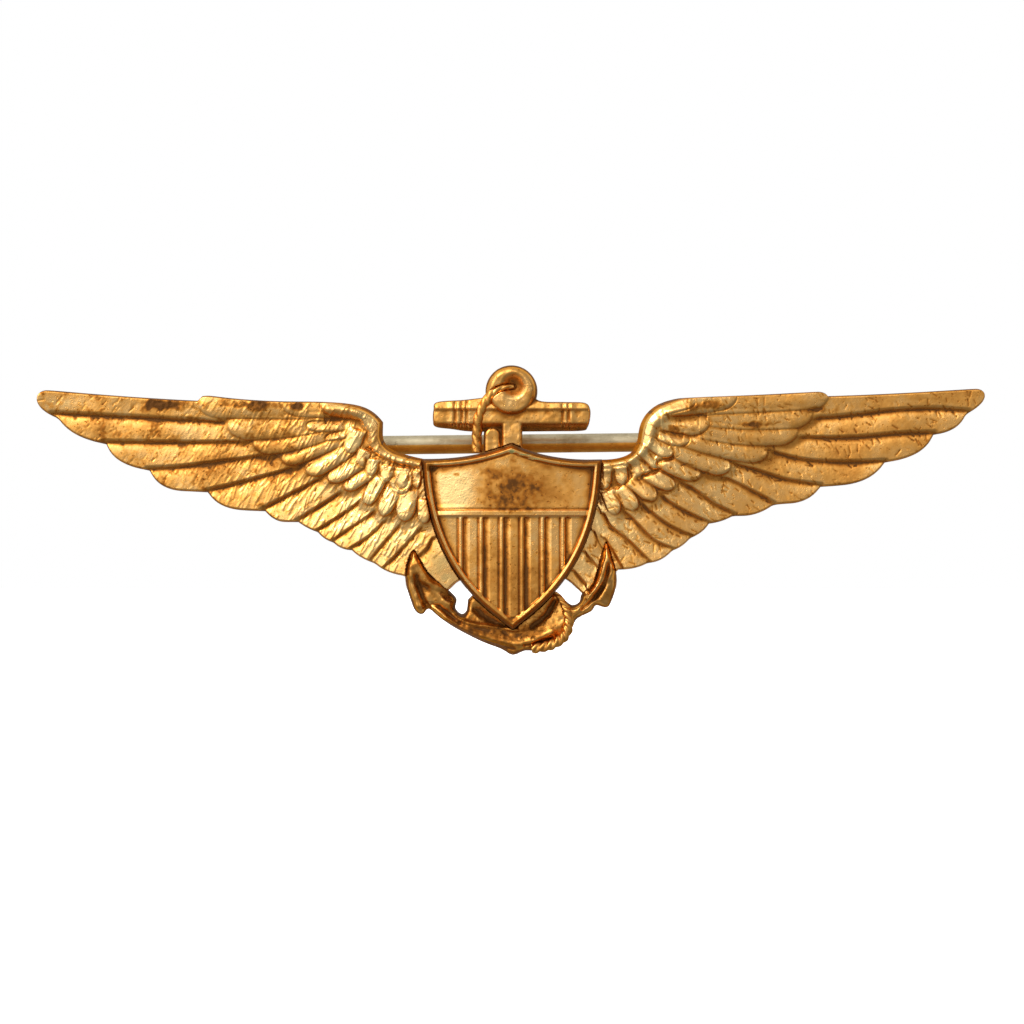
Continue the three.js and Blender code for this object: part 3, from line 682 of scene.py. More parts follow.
def shield_stain_and_painted_light(points):
    places = [(0.0, 1.7, 2.2, 1.8), (-0.9, 2.6, 1.3, 0.8), (-5.9, 3.1, 0.4, 0.25),
              (-4.0, 2.6, 0.2, 0.12), (0.1, -8.0, 0.5, 0.3)]
    flecks = noise(points @ SLANT, 0.14 * MM, 64) + noise(points @ SLANT, 0.37 * MM, 65)
    dark = spots(points, places, 54, 0.7) * (0.96 + 0.17 * flecks)
    brown = spots(points, [(1.3, 1.6, 2.9, 1.9), (0.3, -5.0, 3.2, 4.4)], 58, 0.6)
    inside = -over_shield(points)
    # Painted shade: darker on the shield's sloping outer wall and in a thin line where the rim
    # meets the field.
    wall = 1 - rise((inside - 0.28 * MM) / (0.12 * MM))
    around_field = valley(inside - RIM_FOOT + 0.03 * MM, 0.09 * MM)
    # Painted highlight: paler, smoother gilding on the chief's left, where it catches the key
    # light.
    wear_and_painted_highlight = spots(points, [(-4.6, 1.7, 1.7, 2.2)], 66, 0.5)
    return np.max([dark, 0.45 * brown, 0.72 * wall, 0.45 * around_field], 0) - 0.45 * wear_and_painted_highlight


def shield_green(points):
    places = [(0.05, 4.28, 0.22, 0.12), (0.9, 4.05, 0.6, 0.06), (1.7, 3.75, 0.5, 0.05)]
    return np.minimum(1.3 * spots(points, places, 60), 1)


def shield_height(points):
    x, z = points.T
    inside = -over_shield(points)
    face = SHIELD_FIELD + 0.30 * MM * (1 - (x / (6.6 * MM)) ** 2)
    # The panel over the bar leans back at its top and at its left end.
    face -= 0.20 * MM * np.maximum(z - BAR_TOP, 0) / (3.8 * MM)
    face -= 0.32 * MM * rise((-2.4 * MM - x) / (4.0 * MM)) * rise((z - BAR_BOTTOM) / (1 * MM))
    below_bar = rise((BAR_BOTTOM - z) / (0.12 * MM))
    face -= 0.04 * MM * below_bar
    for i in range(6):
        # From the left: a fine line, a narrow bead, and a gap whose right wall slopes.
        across = (x - STRIPE_CENTRE - (i - 2.5) * STRIPE_PITCH) / MM
        line = valley(across + 0.36, 0.06)
        bead = valley(across + 0.13, 0.12)
        gap = rise((across + 0.06) / 0.18) * np.clip((0.50 - across) / 0.36, 0, 1)
        face -= below_bar * MM * (0.10 * line - 0.06 * bead + 0.17 * gap)
    on_bar = rise((z - BAR_BOTTOM) / (0.12 * MM)) * rise((BAR_TOP - z) / (0.10 * MM))
    face += 0.12 * MM * on_bar
    face -= 0.05 * MM * valley(z - BAR_TOP - 0.05 * MM, 0.06 * MM)
    face += 0.05 * MM * noise(points, 2.4 * MM, 1) + 0.006 * MM * noise(points, 0.6 * MM, 2)
    face += 0.015 * MM * crusted(shield_stain_and_painted_light(points)) * noise(points, 0.3 * MM, 5)
    rim = SHIELD_FRONT - 0.04 * MM * rise((inside - 0.35 * MM) / (0.1 * MM))
    share = rise((inside - RIM_CREST) / (RIM_FOOT - RIM_CREST))
    face = rim * (1 - share) + face * share
    face -= 0.02 * MM * valley(inside - RIM_FOOT, 0.06 * MM)
    wall = SHIELD_SIDE + (face - SHIELD_SIDE) * rise(inside / SHIELD_WALL) ** 0.55
    return np.minimum(wall, face)


# ---------------------------------------------------------------- the anchor

RING_CENTRE = np.array([0.0, 8.77]) * MM
RING_RADIUS = 1.92 * MM
RING_CREST = 1.36 * MM
DIMPLE_CENTRE = np.array([0.15, 9.12]) * MM
STOCK = smooth_line(drawn([
    (-5.5, 7.97), (-5.76, 7.4), (-5.8, 6.6), (-5.6, 6.15), (-4.4, 5.98), (-2.9, 5.8), (0, 5.8),
    (3, 5.82), (5.2, 5.86), (5.62, 6.1), (5.82, 6.8), (5.8, 7.5), (5.4, 7.92), (4, 7.98),
    (2.2, 8.04), (1.2, 8.5), (-1.2, 8.5), (-2, 8.32), (-3.5, 8.14),
]), closed=True)
SHANK = drawn([
    (-2.05, 3.0), (-2.05, 5.75), (-1.8, 6.1), (-0.7, 6.55), (0.8, 6.55), (0.82, 3.6), (1.35, 3.1),
    (1.35, -6.2), (-1.35, -6.2), (-1.35, 3.0),
])
ARMS = smooth_line(drawn([
    (-7.2, -2.9), (-7.62, -3.6), (-7.83, -4.6), (-7.8, -5.5), (-7.5, -6.5), (-7.2, -7.3),
    (-6.85, -7.66), (-6.5, -7.66), (-6.1, -7.3), (-5.3, -7.95), (-4.1, -8.75), (-2.2, -9.72),
    (-0.8, -10.25), (0.1, -10.72), (1.0, -10.4), (2.0, -10.45), (3.0, -10.3), (3.8, -9.7),
    (4.5, -8.6), (4.9, -8.0), (5.9, -7.5), (6.25, -7.05), (6.9, -7.2), (7.3, -6.95),
    (7.75, -5.6), (7.72, -4.5), (7.4, -3.4), (7.0, -2.3), (6.68, -3.0), (6.3, -4.4),
    (5.9, -5.5), (5.2, -6.15), (5.02, -6.8), (4.5, -7.03), (4.0, -6.7), (3.2, -6.1),
    (0, -6.2), (-2.9, -6.3), (-3.3, -7.4), (-3.7, -7.68), (-4.15, -7.25), (-4.05, -6.6),
    (-4.45, -6.1), (-5.1, -5.5), (-6.1, -4.55), (-6.75, -3.5),
]), per_stop=3, closed=True)
ARM_CREST = [(-7.25, -3.4), (-6.9, -5.0), (-6.2, -6.6), (-5.0, -7.75), (-3.3, -8.7), (-1.5, -9.3),
             (0.2, -9.55), (2.0, -9.1), (3.6, -8.3), (5.0, -7.2), (6.0, -6.0), (6.7, -4.6),
             (7.1, -3.0)]
ARM_RIDGES = [
    ([(-5.0, -8.05), (-3.0, -9.0), (-1.2, -9.6), (0.3, -9.9), (1.5, -9.75)], 0.34),
    ([(-3.9, -8.05), (-2.6, -8.45), (-1.2, -8.6), (0.4, -8.85)], 0.16),
    ([(1.7, -9.55), (2.3, -9.25), (3.0, -8.95)], 0.3),
    ([(5.3, -6.9), (6.0, -6.0), (6.6, -4.9), (7.0, -3.5), (7.1, -2.9)], 0.3),
    ([(6.55, -6.6), (7.1, -5.6), (7.4, -4.6), (7.35, -3.6)], 0.3),
    ([(-7.45, -4.2), (-7.3, -5.6), (-6.9, -7.1)], 0.3),
    ([(-6.9, -3.9), (-6.2, -5.2), (-5.2, -6.4), (-4.6, -6.95)], 0.3),
]
ARM_GROOVES = [
    ([(-7.0, -4.9), (-6.8, -5.7), (-6.5, -6.5), (-6.2, -7.2)], 0.2),
    ([(-6.35, -6.9), (-5.4, -7.1), (-4.6, -7.7), (-3.8, -8.3)], 0.16),
    ([(-2.6, -7.3), (-1.8, -7.9), (-0.6, -8.55)], 0.3),
    ([(-2.4, -9.55), (-0.9, -9.95), (0.2, -10.2)], 0.2),
    ([(1.0, -9.95), (2.0, -9.8), (2.9, -9.5)], 0.14),
    ([(5.2, -7.3), (6.2, -6.4), (6.9, -5.2), (7.15, -4.0)], 0.14),
    ([(6.4, -4.2), (6.1, -5.4), (5.5, -6.3)], 0.14),
    ([(1.5, -8.6), (2.5, -7.8), (3.2, -6.7)], 0.2),
]
COLLARS = (-4.15, -3.65, -3.3, 3.78, 4.22)   # places of the stock's grooves
# Each rope's stops are x, depth and z.
UPPER_ROPE = drawn([
    (0.15, 1.15, 9.1), (-0.6, 1.26, 9.02), (-1.25, 1.3, 8.72), (-1.85, 1.3, 8.05),
    (-2.25, 1.26, 7.3), (-2.48, 1.12, 6.5), (-2.54, 0.92, 5.6), (-2.55, 0.87, 4.9),
    (-2.55, 0.86, 4.25),
])
LOWER_ROPE = drawn([
    (3.2, 1.1, -6.1), (3.7, 1.35, -6.7), (4.1, 1.45, -7.5), (4.2, 1.5, -8.3), (4.0, 1.5, -9.1),
    (3.4, 1.45, -9.7), (2.5, 1.38, -10.05), (1.5, 1.3, -10.2),
])
ROPE_RADIUS = 0.4 * MM
ROPE_STAIN = 0.3
UPPER_ROPE_SINK = np.array([0, 0.12, 0]) * MM
ANCHOR_FOOT = 0.35 * MM     # where the anchor's rounded sections start
STOCK_LOW, STOCK_HIGH = 0.7 * MM, 1.22 * MM
SHANK_PLATE = 0.78 * MM
ANCHOR_BOX = drawn([(-8.0, -10.9), (8.0, 10.9)])
DEPTH_TO_Y = np.array([1, -1, 1])


def circle_distance(points, centre, radius):
    return np.hypot(*(points - centre).T) - radius


def anchor_distance(points):
    return np.min([
        circle_distance(points, RING_CENTRE, RING_RADIUS),
        signed_distance(points, STOCK),
        signed_distance(points, SHANK),
        signed_distance(points, ARMS),
    ], 0)


def rounded(inside, height, width, foot):
    """A section that climbs from foot at an outline to height at a width within it."""
    return foot + (height - foot) * np.sqrt(1 - (1 - np.clip(inside / width, 0, 1)) ** 2)


def over_arms(points):
    return signed_distance(points, ARMS)


def anchor_back(points):
    """The anchor's back lies in the badge's back plane, apart from where it sits on a wing."""
    return np.where(over_wings(points) < 2 * SOLDER_GAP, SEAT + SOLDER_GAP, 0)


def ring_height(points):
    inside = -circle_distance(points, RING_CENTRE, RING_RADIUS)
    height = rounded(inside, 1.6 * MM, RING_RADIUS - RING_CREST, ANCHOR_FOOT)
    from_dimple = np.hypot(*(points - DIMPLE_CENTRE).T)
    height -= 0.6 * MM * rise(1.2 - from_dimple / (0.85 * MM)) ** 0.8
    return np.where(inside > 0, height, ANCHOR_FOOT)


def stock_height(points):
    """The stock climbs from its lower edge to a ridge, and falls away over it."""
    x, z = points.T
    inside = -signed_distance(points, STOCK)
    height = STOCK_LOW + (STOCK_HIGH - STOCK_LOW) * rise((z - 5.9 * MM) / (0.62 * MM)) ** 0.8
    height += 0.14 * MM * rise((z - 7.25 * MM) / (0.25 * MM))
    height -= 0.24 * MM * rise((z - 7.45 * MM) / (0.7 * MM))
    for collar in COLLARS:
        height -= 0.14 * MM * valley(x - collar * MM, 0.11 * MM)
    height -= 0.12 * MM * rise((np.abs(x) - 4.3 * MM) / (0.6 * MM))
    height = np.minimum(height, rounded(inside, 1.4 * MM, 0.3 * MM, ANCHOR_FOOT))
    return np.where(inside > 0, height, ANCHOR_FOOT)


def shank_height(points):
    """The shank is a plate with a beam down its middle and a tab beside that, over the shield."""
    x, z = points.T
    inside = -signed_distance(points, SHANK)
    plate = rounded(inside, SHANK_PLATE, 0.2 * MM, ANCHOR_FOOT)
    in_tab = 0.58 * MM - np.hypot(x + 1.42 * MM, np.maximum(z - 5.5 * MM, 0))
    tab = rounded(in_tab, 1.0 * MM, 0.3 * MM, SHANK_PLATE) * (in_tab > 0)
    in_beam = 0.76 * MM - np.abs(x - 0.04 * MM)
    beam = rounded(in_beam, 1.2 * MM, 0.25 * MM, 0.8 * MM) * ((in_beam > 0) & (z > 2 * MM))
    return np.where(inside > 0, np.max([plate, tab, beam], 0), ANCHOR_FOOT)


def arms_height(points):
    """The arms are raised where they lie on the wings."""
    inside = -signed_distance(points, ARMS)
    raised = rise(0.5 - over_wings(points) / (0.5 * MM))
    height = rounded(inside, 1.05 * MM, 0.42 * MM, ANCHOR_FOOT) * (1 - raised)
    height += rounded(inside, 1.4 * MM, 0.3 * MM, 1.2 * MM) * raised
    from_crest = distance_to_line(points, smooth_line(drawn(ARM_CREST)))
    height += 0.22 * MM * valley(from_crest, 0.8 * MM) * rise(inside / (0.4 * MM))
    for line, width in ARM_RIDGES:
        away = distance_to_line(points, smooth_line(drawn(line)))
        height += 0.26 * MM * valley(away, width * MM) * rise(inside / (0.3 * MM))
    for line, width in ARM_GROOVES:
        away = distance_to_line(points, smooth_line(drawn(line)))
        height -= 0.28 * MM * valley(away, width * MM)
    return np.where(inside > 0, height, ANCHOR_FOOT)


def under_ropes(points, face):
    """The face with a trough wherever a rope lies in it."""
    reach = 0.7 * ROPE_RADIUS
    for stops in (UPPER_ROPE, LOWER_ROPE):
        path = smooth_line(stops)
        line, depth = path[:, [0, 2]], path[:, 1]
        nearest = np.argmin([np.hypot(*(points - p).T) for p in line], 0)
        away = np.hypot(*(points - line[nearest]).T)
        trough = depth[nearest] - np.sqrt(np.maximum(reach**2 - away**2, 0))
        face = np.where(away < reach, np.minimum(face, trough), face)
    return face


def anchor_height(points):
    parts = [ring_height, stock_height, shank_height, arms_height]
    face = np.max([part(points) for part in parts], 0)
    face += 0.05 * MM * noise(points, 1.3 * MM, 3)
    wear_and_painted_highlight = 0.45 + 0.55 * rise((-4 * MM - points[:, 1]) / (2 * MM))
    pitting = 0.05 * noise(points, 0.45 * MM, 4) + 0.025 * noise(points, 0.2 * MM, 6)
    face = under_ropes(points, face + wear_and_painted_highlight * MM * pitting)
    face = np.maximum(face, anchor_back(points) + 0.12 * MM)
    return np.where(over_shield(points) < SOLDER_GAP, np.minimum(face, SEAT), face)


def anchor_stain(points):
    low = rise((-2.5 * MM - points[:, 1]) / (2 * MM))
    low *= 1 - 0.6 * rise((points[:, 0] - 1.0 * MM) / (3 * MM))
    low *= 1 - 0.35 * rise((-4.0 * MM - points[:, 0]) / (2 * MM))
    blotches = 0.55 + 0.35 * noise(points, 0.9 * MM, 56) + 0.2 * noise(points, 0.25 * MM, 57)
    return np.maximum(low * np.clip(blotches, 0, 1), 0.15)


def rope(name, stops, pitch, relief_depth, start):
    """A cast rope along a smooth line of points: a round section with three twisted lobes,
    which starts at a share of its thickness."""
    line = smooth_line(stops, per_stop=16)
    run = np.concatenate([[0], np.cumsum(np.linalg.norm(np.diff(line, axis=0), axis=1))])
    along = np.gradient(line, axis=0)
    along /= np.linalg.norm(along, axis=1)[:, None]
    side = np.cross(along, (0.0, -1.0, 0.0))
    side /= np.linalg.norm(side, axis=1)[:, None]
    out = np.cross(side, along)
    angles = np.linspace(0, 2 * math.pi, 36, endpoint=False)
    rings = []
    for middle, s, o, length in zip(line, side, out, run):
        lobes = np.abs(np.cos(1.5 * (angles - 2 * math.pi * length / pitch)))
        thickness = start + (1 - start) * rise(length / (2.4 * MM))
        thickness *= 1 - 0.07 * math.cos(2 * math.pi * length / (1.1 * MM))
        reach = ROPE_RADIUS * min(thickness, 1) * (1 - relief_depth * (1 - lobes))
        directions = np.outer(np.cos(angles), s) + np.outer(np.sin(angles), o)
        rings.append((middle + reach[:, None] * directions).tolist())
    mesh = stacked(rings)
    mesh.name = name
    shade_smooth(mesh)
    keep_values(mesh, "stain_and_painted_light", np.full(len(mesh.vertices), ROPE_STAIN))
    return add_object(name, mesh)


# ---------------------------------------------------------------- the mechanism
# Modelled in millimetres about the stem's axis, which is the X axis, +Y away from the badge.

STEM_BEHIND, STEM_HEIGHT = 2.15, 4.95   # the axis behind the badge's back and over its middle
STEM_RISE = math.radians(0.64)          # how much it climbs to the right
HINGE_X, CATCH_X = -17.7, 17.5
BADGE_BACK = -STEM_BEHIND
PAD_TOP = BADGE_BACK + 0.39
FOOT = PAD_TOP + 0.04       # of the bracket and the housing
SHEET = 0.4                 # thickness of the bracket's sheet
EAR_INNER = 0.78            # from the stem's axis
EAR_OUTER = EAR_INNER + SHEET


def mechanism_place(x):
    """Where a mechanism piece modelled about its own origin goes, with its millimetres scaled."""
    axis = Matrix.Translation((0, STEM_BEHIND * MM, STEM_HEIGHT * MM))
    turn = Matrix.Rotation(-STEM_RISE, 4, "Y")
    return axis @ turn @ Matrix.Translation((x * MM, 0, 0)) @ Matrix.Scale(MM, 4)


def arc(radius, start, stop, steps=24):
    """Points on a circle between two angles in degrees."""
    angles = np.radians(np.linspace(start, stop, steps + 1))
    return [(radius * math.cos(a), radius * math.sin(a)) for a in angles]


def prism(section, low, high, axis="X"):
    """A closed bar of a section, along X (section in Y, Z) or along Z (section in X, Y)."""
    if axis == "X":
        return stacked([[(end, u, v) for u, v in section] for end in (low, high)])
    return stacked([[(u, v, end) for u, v in section] for end in (low, high)])


def lathed(profile, axis="X", sides=64):
    """A closed turned piece. The profile's points are (along the axis, radius)."""
    verts, faces, rings = [], [], []
    for along, radius in profile:
        ring = []
        for k in range(sides if radius > 0 else 1):
            a = 2 * math.pi * k / sides
            across = (radius * math.cos(a), radius * math.sin(a))
            ring.append(len(verts))
            verts.append((along, *across) if axis == "X" else (*across, along))
        rings.append(ring)
    for a, b in zip(rings, rings[1:]):
        for k in range(sides):
            corners = [a[k % len(a)], a[(k + 1) % len(a)], b[(k + 1) % len(b)], b[k % len(b)]]
            faces.append(tuple(dict.fromkeys(corners)))
    return closed_mesh(verts, faces)


def machined(name, body, place, joined=(), cut=(), edge=0.06):
    """One piece made of a body with others joined to it or cut from it, its edges rounded."""
    made = add_object(name, body)
    helpers = []
    for operation, meshes in (("UNION", joined), ("DIFFERENCE", cut)):
        for mesh in meshes:
            helper = add_object("helper", mesh)
            helpers.append(helper)
            modifier = made.modifiers.new("shape", "BOOLEAN")
            modifier.operation = operation
            modifier.solver = "EXACT"
            modifier.object = helper
    bevel = made.modifiers.new("edges", "BEVEL")
    bevel.width = edge
    bevel.segments = 3
    bevel.limit_method = "ANGLE"
    bevel.angle_limit = math.radians(35)
    depsgraph = bpy.context.evaluated_depsgraph_get()
    finished = bpy.data.meshes.new_from_object(made.evaluated_get(depsgraph))
    made.modifiers.clear()
    made.data = finished
    for helper in helpers:
        bpy.data.objects.remove(helper)
    finished.transform(place)
    finished.name = name
    shade_smooth(finished)
    finished.set_sharp_from_angle(angle=math.radians(50))
    return made


def rounded_rectangle(half_u, half_v, corner):
    points = []
    for su, sv, start in ((1, 1, 0), (-1, 1, 90), (-1, -1, 180), (1, -1, 270)):
        for u, v in arc(corner, start, start + 90, 8):
            points.append((su * (half_u - corner) + u, sv * (half_v - corner) + v))
    return points


def soldered_pad(name, half_x, half_z, place):
    """A rounded plate with a fillet of solder around its foot."""
    # How far each level spreads beyond the plate's outline, and its height above the back.
    levels = [(0.32, 0.0), (0.17, 0.04), (0.07, 0.11), (0.01, 0.22), (0.0, 0.30), (-0.03, 0.36),
              (-0.10, 0.39)]
    rings = []
    for spread, height in levels:
        section = rounded_rectangle(half_x + spread, half_z + spread, 0.9 + spread)
        rings.append([(u, BADGE_BACK + height, v) for u, v in section])
    return machined(name, stacked(rings), place, edge=0.01)


def hinge_bracket(place):
    base = prism([(-1.05, FOOT), (1.05, FOOT), (1.05, FOOT + SHEET), (-1.05, FOOT + SHEET)],
                 -EAR_OUTER, EAR_OUTER, "Z")
    ear_section = arc(1.05, 0, 180) + [(-1.05, FOOT), (1.05, FOOT)]
    ears = [prism(ear_section, low, low + SHEET, "Z") for low in (-EAR_OUTER, EAR_INNER)]
    hole = lathed([(-3, 0), (-3, 0.44), (3, 0.44), (3, 0)], "Z")
    return machined("hinge_bracket_sheet", base, place, joined=ears, cut=[hole], edge=0.09)


def hinge_rivet(place):
    under, radius, height = EAR_OUTER + 0.04, 0.72, 0.32
    dome = [(under + height * math.sin(a), radius * math.cos(a))
            for a in np.linspace(0, math.pi / 2, 9)]
    upper = [(0, 0.4), (under, 0.4), (under, radius - 0.05)] + dome
    upper[-1] = (under + height, 0)
    lower = [(-along, across) for along, across in reversed(upper[1:])]
    return machined("hinge_rivet_domed", lathed(lower + upper, "Z", 48), place, edge=0.02)


def pin_stem(place):
    # The profiles' points are the distance along the stem and the radius.
    taper = [(27.6, 0.7), (28.6, 0.672), (29.8, 0.61), (31.2, 0.51), (32.6, 0.4), (34.2, 0.3),
             (35.6, 0.22), (36.8, 0.13), (37.6, 0.06), (37.88, 0)]
    neck = [(0.6, 0), (0.6, 0.66), (1.2, 0.68), (1.8, 0.7)]
    shank = lathed(neck + taper, "X", 64)
    knuckle = lathed([(-0.72, 0), (-0.72, 0.92), (0.72, 0.92), (0.72, 0)], "Z", 64)
    bore = lathed([(-2, 0), (-2, 0.46), (2, 0.46), (2, 0)], "Z", 48)
    return machined("pin_stem_wire", knuckle, place, joined=[shank], cut=[bore], edge=0.05)


def catch_housing(place):
    outer, inner, opening, foot_half = 1.75, 1.33, 38, 1.1
    meet = 180 - math.degrees(math.asin(foot_half / outer))
    section = (arc(outer, opening, meet) + [(FOOT, foot_half), (FOOT, -foot_half)]
               + arc(outer, 360 - meet, 360 - opening) + arc(inner, 360 - opening, opening, 64))
    body = prism(section, -1.8, 1.8)
    slot = prism([(0, 0)] + arc(3, -128, -10, 16), -0.66, 0.66)
    return machined("catch_housing_shell", body, place, cut=[slot], edge=0.07)


def catch_roller(place):
    outer, inner, opening = 1.27, 0.8, 36
    section = arc(outer, opening, 360 - opening, 64) + arc(inner, 360 - opening, opening, 64)
    tube = prism(section, -1.65, 1.65)
    tab = prism([(1.05, -0.28), (2.6, -0.28), (2.6, 0.28), (1.05, 0.28)], -0.6, 0.6)
    tab.transform(Matrix.Rotation(math.radians(-110), 4, "X"))
    return machined("catch_roller_tube", tube, place, joined=[tab], edge=0.05)


# ---------------------------------------------------------------- materials

def add_node(tree, kind, inputs=None, **settings):
    """A node with its settings, and its inputs given as values or as other nodes' outputs."""
    made = tree.nodes.new(kind)
    for name, value in settings.items():
        setattr(made, name, value)
    for name, value in (inputs or {}).items():
        if isinstance(value, bpy.types.NodeSocket):
            tree.links.new(value, made.inputs[name])
        else:
            made.inputs[name].default_value = value
    return made


def new_material(name):
    material = bpy.data.materials.new(name)
    material.use_nodes = True
    tree = material.node_tree
    shader = tree.nodes["Principled BSDF"]
    where = add_node(tree, "ShaderNodeTexCoord").outputs["Object"]
    return material, tree, shader, where


def noise_node(tree, where, size, detail=3, roughness=0.55):
    """Noise that changes over about a size in metres."""
    made = add_node(tree, "ShaderNodeTexNoise", {
        "Vector": where, "Scale": 1 / size, "Detail": detail, "Roughness": roughness,
    })
    return made.outputs["Fac"]


def ranged(tree, value, low, high, to_low=0.0, to_high=1.0):
    made = add_node(tree, "ShaderNodeMapRange", {
        "Value": value, "From Min": low, "From Max": high, "To Min": to_low, "To Max": to_high,
    })
    return made.outputs["Result"]


def maths(tree, operation, a, b):
    return add_node(tree, "ShaderNodeMath", {0: a, 1: b}, operation=operation).outputs[0]


def mixed(tree, share, first, second):
    """Two colours mixed: the first where the share is 0 and the second where it is 1."""
    mix = add_node(tree, "ShaderNodeMix", {0: share, 6: first, 7: second}, data_type="RGBA")
    return mix.outputs[2]


def kept_value(tree, name):
    """What keep_values() stored on the mesh."""
    return add_node(tree, "ShaderNodeAttribute", attribute_name=name).outputs["Fac"]


def ramp(tree, value, stops):
    made = add_node(tree, "ShaderNodeValToRGB", {"Fac": value})
    elements = made.color_ramp.elements
    while len(elements) < len(stops):
        elements.new(0.5)
    for element, (position, colour) in zip(elements, stops):
        element.position = position
        element.color = (*colour, 1)
    return made.outputs["Color"]


def bump(tree, shader, layers):
    """Bumps from (height, depth in metres) pairs, the coarsest first."""
    normal = None
    for height, depth in layers:
        inputs = {"Height": height, "Distance": depth, "Strength": 1.0}
        if normal:
            inputs["Normal"] = normal
        normal = add_node(tree, "ShaderNodeBump", inputs).outputs["Normal"]
    tree.links.new(normal, shader.inputs["Normal"])


VERDIGRIS = (0.17, 0.18, 0.07, 1)
GOLD_SHEEN = (1.0, 0.62, 0.3, 1)


def gilt_metal():
    """Worn gilding: bright on the high relief, dirt in the recesses, stains and verdigris, with the
    painted highlights and painted shade that come with the stains.
    """
    material, tree, shader, where = new_material("gilt_metal")
    stain_and_painted_light, green = kept_value(tree, "stain_and_painted_light"), kept_value(tree, "verdigris")
    hollow = ranged(tree, kept_value(tree, "recess"), 0.0, 0.11 * MM)
    blotches = noise_node(tree, where, 3.0 * MM, 4)
    mottle = noise_node(tree, where, 0.6 * MM, 4, 0.6)
    speckle = noise_node(tree, where, 0.2 * MM, 2, 0.5)
    specks = ranged(tree, speckle, 0.63, 0.70)
    facing = add_node(tree, "ShaderNodeNewGeometry").outputs["Normal"]
    facing_y = add_node(tree, "ShaderNodeSeparateXYZ", {"Vector": facing}).outputs["Y"]
    clouds = ranged(tree, noise_node(tree, where, 8 * MM, 5, 0.6), 0.40, 0.62, 0.0, 0.5)
    back_tarnish = maths(tree, "MULTIPLY", ranged(tree, facing_y, 0.8, 0.95), clouds)
    parts = [
        maths(tree, "MULTIPLY", hollow, 0.7), maths(tree, "MULTIPLY", stain_and_painted_light, 0.9), back_tarnish,
        maths(tree, "MULTIPLY", specks, 0.35), ranged(tree, blotches, 0.35, 0.7, -0.12, 0.25),
        ranged(tree, mottle, 0.3, 0.7, -0.08, 0.12),
    ]
    # Tarnish, plus the painted highlights (below zero) and painted shade that come with the mesh's
    # stains.
    tarnish_and_painted_light = parts[0]
    for part in parts[1:]:
        tarnish_and_painted_light = maths(tree, "ADD", tarnish_and_painted_light, part)
    # The ramp's pale end shows the painted highlights, its dark end tarnish, stains and painted
    # shade.
    colour = ramp(tree, ranged(tree, tarnish_and_painted_light, -0.3, 1.0), [
        (0.0, (1.0, 0.68, 0.27)), (0.23, (0.96, 0.54, 0.18)), (0.46, (0.84, 0.395, 0.085)),
        (0.73, (0.45, 0.16, 0.022)), (1.0, (0.10, 0.035, 0.007)),
    ])
    tree.links.new(mixed(tree, green, colour, VERDIGRIS), shader.inputs["Base Color"])
    dirt = maths(tree, "MAXIMUM", green, ranged(tree, tarnish_and_painted_light, 0.6, 1.3))
    tree.links.new(ranged(tree, dirt, 0.0, 1.0, 1.0, 0.35), shader.inputs["Metallic"])
    shader.inputs["Specular Tint"].default_value = GOLD_SHEEN
    polish = ranged(tree, blotches, 0.3, 0.7, 0.20, 0.30)
    rough = maths(tree, "ADD", polish, ranged(tree, tarnish_and_painted_light, -0.2, 1.0, -0.07, 0.28))
    tree.links.new(rough, shader.inputs["Roughness"])
    bump(tree, shader, [
        (mottle, 0.030 * MM), (maths(tree, "SUBTRACT", 1.0, specks), 0.010 * MM),
        (speckle, 0.008 * MM), (noise_node(tree, where, 0.09 * MM, 2), 0.004 * MM),
    ])
    return material


def fitting_brass():
    """Dull satin brass with darker solder stains."""
    material, tree, shader, where = new_material("fitting_brass")
    stains = noise_node(tree, where, 1.6 * MM, 4, 0.6)
    fine = noise_node(tree, where, 0.2 * MM, 3)
    colour = ramp(tree, maths(tree, "ADD", maths(tree, "MULTIPLY", stains, 0.8),
                              maths(tree, "MULTIPLY", fine, 0.25)), [
        (0.35, (0.72, 0.50, 0.22)), (0.52, (0.60, 0.39, 0.15)), (0.75, (0.30, 0.19, 0.08)),
    ])
    tree.links.new(colour, shader.inputs["Base Color"])
    shader.inputs["Metallic"].default_value = 1.0
    tree.links.new(ranged(tree, stains, 0.3, 0.7, 0.34, 0.55), shader.inputs["Roughness"])
    bump(tree, shader, [(stains, 0.04 * MM), (fine, 0.012 * MM)])
    return material


